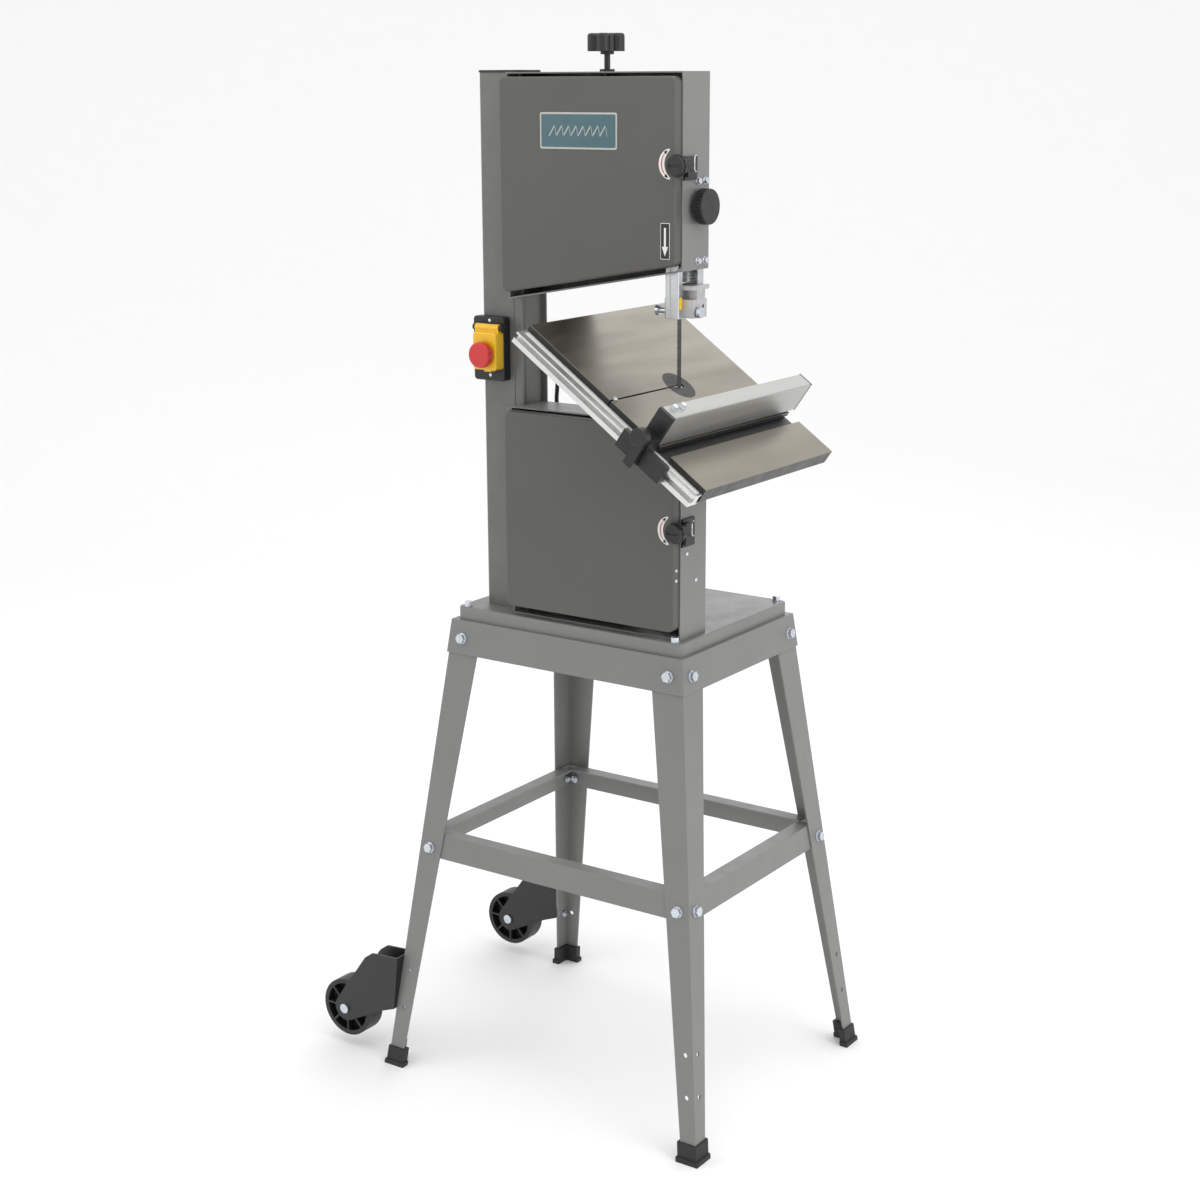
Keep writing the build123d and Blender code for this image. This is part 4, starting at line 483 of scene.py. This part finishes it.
def wire(name, path, thick, material, body, sides=12):
    """Round wire: at each point of the path, a circle in the plane across the path's direction, on the
    two directions got by crossing it with a fixed one that it never follows."""
    along = np.gradient(path, axis=0)
    along /= np.linalg.norm(along, axis=1, keepdims=True)
    first = np.cross(along, (0.31, 0.17, 0.93))
    first /= np.linalg.norm(first, axis=1, keepdims=True)
    second = np.cross(along, first)
    angle = (np.arange(sides) * 2 * pi / sides)[:, None]
    circles = np.cos(angle) * first[:, None] + np.sin(angle) * second[:, None]
    rings = path[:, None] + thick / 2 / MM * circles
    return capped(name, rings, material, body)


LATCH_HIGH, LATCH_LOW, WIRE = 1336, 861, 1.8
bend = np.linspace(0, pi, 33)
for name, z in (("upper", LATCH_HIGH), ("lower", LATCH_LOW)):
    loop = np.stack([189.5 + 3.0 * np.sin(bend), -113 - 9 * np.sin(bend) ** 0.6, z - 10 * np.cos(bend)], -1)
    wire(f"{name}_catch_wire", np.array(STAND_MIDDLE) + loop / MM, WIRE, bare_zinc, "frame")

# ---- Door plates ------------------------------------------------------------------------------------
# A plain enamelled badge with a row of saw teeth on the upper door, a plate whose arrow shows the
# blade's way, and printed crescents beside the latch knobs that show which way they turn.


def plate(name, middle, sideways, upwards, outline, thick, material, body, soften=0.3):
    """Flat plate about its own middle: the outline stands at height nought and at the plate's thickness
    less the softening, then comes in by the softening at full height, and closes to its middle."""
    outline = np.array(outline, float)
    out = np.array(sideways.cross(upwards))
    size = np.abs(outline).max()
    rings = np.stack([np.array(middle) + height / MM * out
                      + outline[:, :1] * scale / MM * np.array(sideways)
                      + outline[:, 1:] * scale / MM * np.array(upwards)
                      for scale, height in ((0, 0), (1, 0), (1, thick - soften), (1 - soften / size, thick),
                                            (0, thick))])
    return skin(name, rings, material, body)


def rounded(wide, high, corner, steps=7):
    """Outline of a rectangle with round corners: each corner is a quarter circle about its own middle."""
    angle = np.linspace(0, pi / 2, steps)
    corners = [np.stack([wide / 2 * sx - corner * sx + corner * np.cos(angle + lean),
                         high / 2 * sy - corner * sy + corner * np.sin(angle + lean)], -1)
               for sx, sy, lean in ((1, 1, 0), (-1, 1, pi / 2), (-1, -1, pi), (1, -1, 3 * pi / 2))]
    return np.concatenate(corners)


def crescent(name, x, z, inner, outer, start, stop, low, high, material, body):
    """Part of a flat ring on the door: a rectangle between two radii and two heights, carried from one
    angle to another, its width growing and shrinking with the square root of the sine along it."""
    part = np.linspace(0, 1, 33)[:, None]
    angle = np.radians(start + (stop - start) * part)
    swell = np.sqrt(np.clip(np.sin(pi * part), 0.02, 1))
    mean, half = (inner + outer) / 2, (outer - inner) / 2 * swell
    radius = np.concatenate([mean - half, mean + half, mean + half, mean - half], 1)
    height = np.array([low, low, high, high])
    rings = np.stack([STAND_MIDDLE.x + (x + radius * np.cos(angle)) / MM,
                      door_face - height / MM + 0 * radius,
                      (z + radius * np.sin(angle)) / MM], -1)
    return capped(name, rings, material, body)


door_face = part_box("upper_door")[0].y


def on_door(x, z, proud=0.0):
    """A point on the doors' front, with that many millimetres in front of it."""
    place = spot(x, 0, z)
    place.y = door_face - proud / MM
    return place


print_white = finish("print_white", (0.72, 0.72, 0.70), 0.4, mottle=0.03, grain=0.004, edge=0.0001)
print_red = finish("print_red", (0.45, 0.02, 0.02), 0.4, mottle=0.05, grain=0.004, edge=0.0001)
print_black = finish("print_black", (0.012, 0.012, 0.012), 0.4, mottle=0.2, grain=0.004, edge=0.0001)
print_yellow = finish("print_yellow", (0.75, 0.50, 0.02), 0.4, mottle=0.05, grain=0.004, edge=0.0001)
badge_enamel = finish("badge_enamel", (0.020, 0.085, 0.105), 0.26, mottle=0.08, mottle_size=30,
                      grain=0.004, edge=0.0002, coat=0.5)
BADGE_X, BADGE_Z, BADGE_WIDE, BADGE_HIGH, BADGE_THICK, BORDER = 29.25, 1375.5, 122.5, 47.0, 0.8, 5
plate("badge_plate", on_door(BADGE_X, BADGE_Z), X_OUT, Z_UP, rounded(BADGE_WIDE, BADGE_HIGH, 3), BADGE_THICK,
      anodised, "upper_door")
plate("badge_field", on_door(BADGE_X, BADGE_Z, BADGE_THICK), X_OUT, Z_UP,
      rounded(BADGE_WIDE - BORDER, BADGE_HIGH - BORDER, 2), 0.3, badge_enamel, "upper_door",
      soften=0.1)
# The teeth: a band that climbs over four fifths of each tooth and falls over the last fifth.
TEETH_WIDE, TEETH_COUNT, TEETH_HIGH, LINE = 92, 8, 14, 1.5
along_badge = np.linspace(0, TEETH_COUNT, TEETH_COUNT * 16 + 1)
fall = along_badge % 1
climb = 0.8
saw = TEETH_HIGH * (np.where(fall < climb, fall / climb, (1 - fall) / (1 - climb)) - 0.5)
sides = np.array((-LINE, LINE, LINE, -LINE)) / 2
teeth_row = np.stack([
    STAND_MIDDLE.x + (BADGE_X + TEETH_WIDE * (along_badge / TEETH_COUNT - 0.5)[:, None] + 0.7 * sides) / MM,
    door_face - np.broadcast_to((1.1, 1.1, 1.35, 1.35), (len(saw), 4)) / MM,
    (BADGE_Z + saw[:, None] - sides) / MM], -1)
capped("badge_teeth", teeth_row, anodised, "upper_door")
ARROW_X, ARROW_Z, ARROW_WIDE, ARROW_HIGH, SHEET, INK = 164, 1239, 14, 46, 0.3, 0.15
ARROW = ((0, -11), (4.6, 1), (1.5, 1.01), (1.5, 25), (-1.5, 25), (-1.5, 1.01), (-4.6, 1))
plate("way_plate_edge", on_door(ARROW_X, ARROW_Z), X_OUT, Z_UP, rounded(ARROW_WIDE, ARROW_HIGH, 1), SHEET,
      print_white, "upper_door", soften=0.1)
plate("way_plate_field", on_door(ARROW_X, ARROW_Z, SHEET), X_OUT, Z_UP,
      rounded(ARROW_WIDE - 1.4, ARROW_HIGH - 1.6, 1), INK, print_black, "upper_door",
      soften=0.05)
plate("way_arrow", on_door(ARROW_X, ARROW_Z - 8, SHEET + INK), X_OUT, Z_UP, ARROW, INK, print_white,
      "upper_door", soften=0.05)
KNOB_X, MARK_START, MARK_STOP, MARK_THICK, MARK_MIDDLE = 178, 112, 250, 0.25, 19.8
ARROW_TIP = ((2.3, -2), (0, 4), (-2.3, -2))
for body, z in (("upper_door", LATCH_HIGH), ("lower_door", LATCH_LOW)):
    crescent(f"{body}_turn_mark", KNOB_X, z, 15.5, 24, MARK_START, MARK_STOP, 0, MARK_THICK, print_white,
             body)
    crescent(f"{body}_turn_line", KNOB_X, z, MARK_MIDDLE - 0.8, MARK_MIDDLE + 0.8, MARK_START + 22,
             MARK_STOP - 22, MARK_THICK, MARK_THICK + INK, print_red, body)
    for end, at, lean in (("up", radians(MARK_START + 20), 1), ("down", radians(MARK_STOP - 20), -1)):
        tip = on_door(KNOB_X + MARK_MIDDLE * cos(at), z + MARK_MIDDLE * sin(at), MARK_THICK)
        pointing = Vector((sin(at), 0, -cos(at))) * lean
        beside = Vector((cos(at), 0, sin(at))) * lean
        plate(f"{body}_turn_{end}", tip, beside, pointing, ARROW_TIP, INK, print_red, body,
              soften=0.05)

# ---- Guard tag and rail scale ------------------------------------------------------------------------
# A small yellow printed tag on the blade guard, and a printed steel tape let into the rail's top,
# ruled in millimetres with longer strokes at every fifth and tenth.
TAG_WIDE, TAG_HIGH, TAG_ABOVE = 8, 15, 0.020
guard_low, guard_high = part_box("blade_guard")
tag_middle = Vector((guard_high.x, (guard_low.y + guard_high.y) / 2, guard_low.z + TAG_ABOVE))
plate("guard_tag", tag_middle, Y_IN, Z_UP, rounded(TAG_WIDE, TAG_HIGH, 1), 0.2, print_yellow, "guide",
      soften=0.05)
TAPE_NEAR, TAPE_FAR, TAPE_FROM, TAPE_TO, RAIL_TOP = -171, -162, -148, 169, -8
tape_finish = finish("scale_tape", (0.60, 0.60, 0.58), 0.35, mottle=0.03, grain=0.004, edge=0.0001)
nodes, links = tape_finish.node_tree.nodes, tape_finish.node_tree.links
shader = next(n for n in nodes if n.type == "BSDF_PRINCIPLED")
ground = shader.inputs["Base Color"].links[0].from_socket
place = nodes.new("ShaderNodeTexCoord")


def measure(direction, offset):
    """Distance in millimetres along a direction, from the plane where the offset says nought."""
    reach = nodes.new("ShaderNodeVectorMath")
    reach.operation = "DOT_PRODUCT"
    reach.inputs[1].default_value = direction * MM
    links.new(place.outputs["Object"], reach.inputs[0])
    return calc("SUBTRACT", reach.outputs["Value"], offset)


def calc(operation, first, second):
    """One arithmetic step between two values, each a number or another node's result."""
    step = nodes.new("ShaderNodeMath")
    step.operation = operation
    for socket, value in zip(step.inputs, (first, second)):
        if isinstance(value, (int, float)):
            socket.default_value = value
        else:
            links.new(value, socket)
    return step.outputs["Value"]


start = on_table(TAPE_FROM, TAPE_FAR, RAIL_TOP)
from_end = measure(ALONG, ALONG.dot(start) * MM)
from_back = measure(-Y_IN, -start.y * MM)
STROKE = 0.22
millimetres, fives, tens = (
    calc("MULTIPLY", calc("LESS_THAN", calc("MODULO", from_end, every), STROKE),
         calc("LESS_THAN", from_back, long))
    for every, long in ((1, 3.0), (5, 4.8), (10, 6.8)))
strokes = calc("MAXIMUM", calc("MAXIMUM", millimetres, fives), tens)
inked = nodes.new("ShaderNodeMix")
inked.data_type = "RGBA"
links.new(strokes, inked.inputs["Factor"])
links.new(ground, inked.inputs["A"])
inked.inputs["B"].default_value = (0.01, 0.01, 0.01, 1)
links.new(inked.outputs["Result"], shader.inputs["Base Color"])
plate("scale_tape", on_table((TAPE_FROM + TAPE_TO) / 2, (TAPE_NEAR + TAPE_FAR) / 2, RAIL_TOP), ALONG, Y_IN,
      rounded(TAPE_TO - TAPE_FROM, TAPE_FAR - TAPE_NEAR, 0.5), 0.15, tape_finish, "table",
      soften=0.05)

# ---- Studio ------------------------------------------------------------------------------------
# A seamless pale sweep that rises behind the saw, under an even white sky, with large soft
# lights above, to both sides and behind the viewer.
REACH, RISE_FROM, RISE, SKY = 7.0, 0.45, 11.0, 0.98
steps = np.linspace(-1, 1, 61)
far, wide = np.meshgrid(steps, steps, indexing="ij")
away = np.array(Vector((ahead.x, ahead.y, 0)).normalized())
sweep = (np.array(STAND_MIDDLE) + far[..., None] * REACH * away + wide[..., None] * REACH * np.array(level)
         + (np.clip(far - RISE_FROM, 0, None) ** 2 * RISE)[..., None] * np.array((0, 0, 1)))
floor_finish = finish("studio_paper", (0.90, 0.90, 0.90), 0.9, mottle=0.004, grain=0.0)
skin("studio_floor", sweep, floor_finish, round_v=False)
world = bpy.data.worlds.new("studio")
bpy.context.scene.world = world
world.use_nodes = True
sky = world.node_tree.nodes["Background"]
sky.inputs["Color"].default_value = (1, 1, 1, 1)
sky.inputs["Strength"].default_value = SKY
for name, place, aim, size, power in (
        ("soft_top", (0.9, -0.6, 3.6), (0, 0, 0.9), 3.0, 30),
        ("soft_left", (-2.6, -2.6, 2.2), (0, 0, 0.9), 2.4, 14),
        ("soft_right", (3.2, -0.4, 1.9), (0, 0, 0.9), 2.2, 27),
        ("soft_back", (-0.8, 3.0, 2.6), (0, 0, 1.1), 2.2, 14)):
    lamp = bpy.data.lights.new(name, "AREA")
    lamp.size = size
    lamp.energy = power
    shining = bpy.data.objects.new(name, lamp)
    shining.location = place
    shining.rotation_euler = (Vector(aim) - Vector(place)).to_track_quat("-Z", "Y").to_euler()
    bpy.context.scene.collection.objects.link(shining)
bpy.context.scene.view_settings.view_transform = "Standard"

bpy.context.view_layer.update()
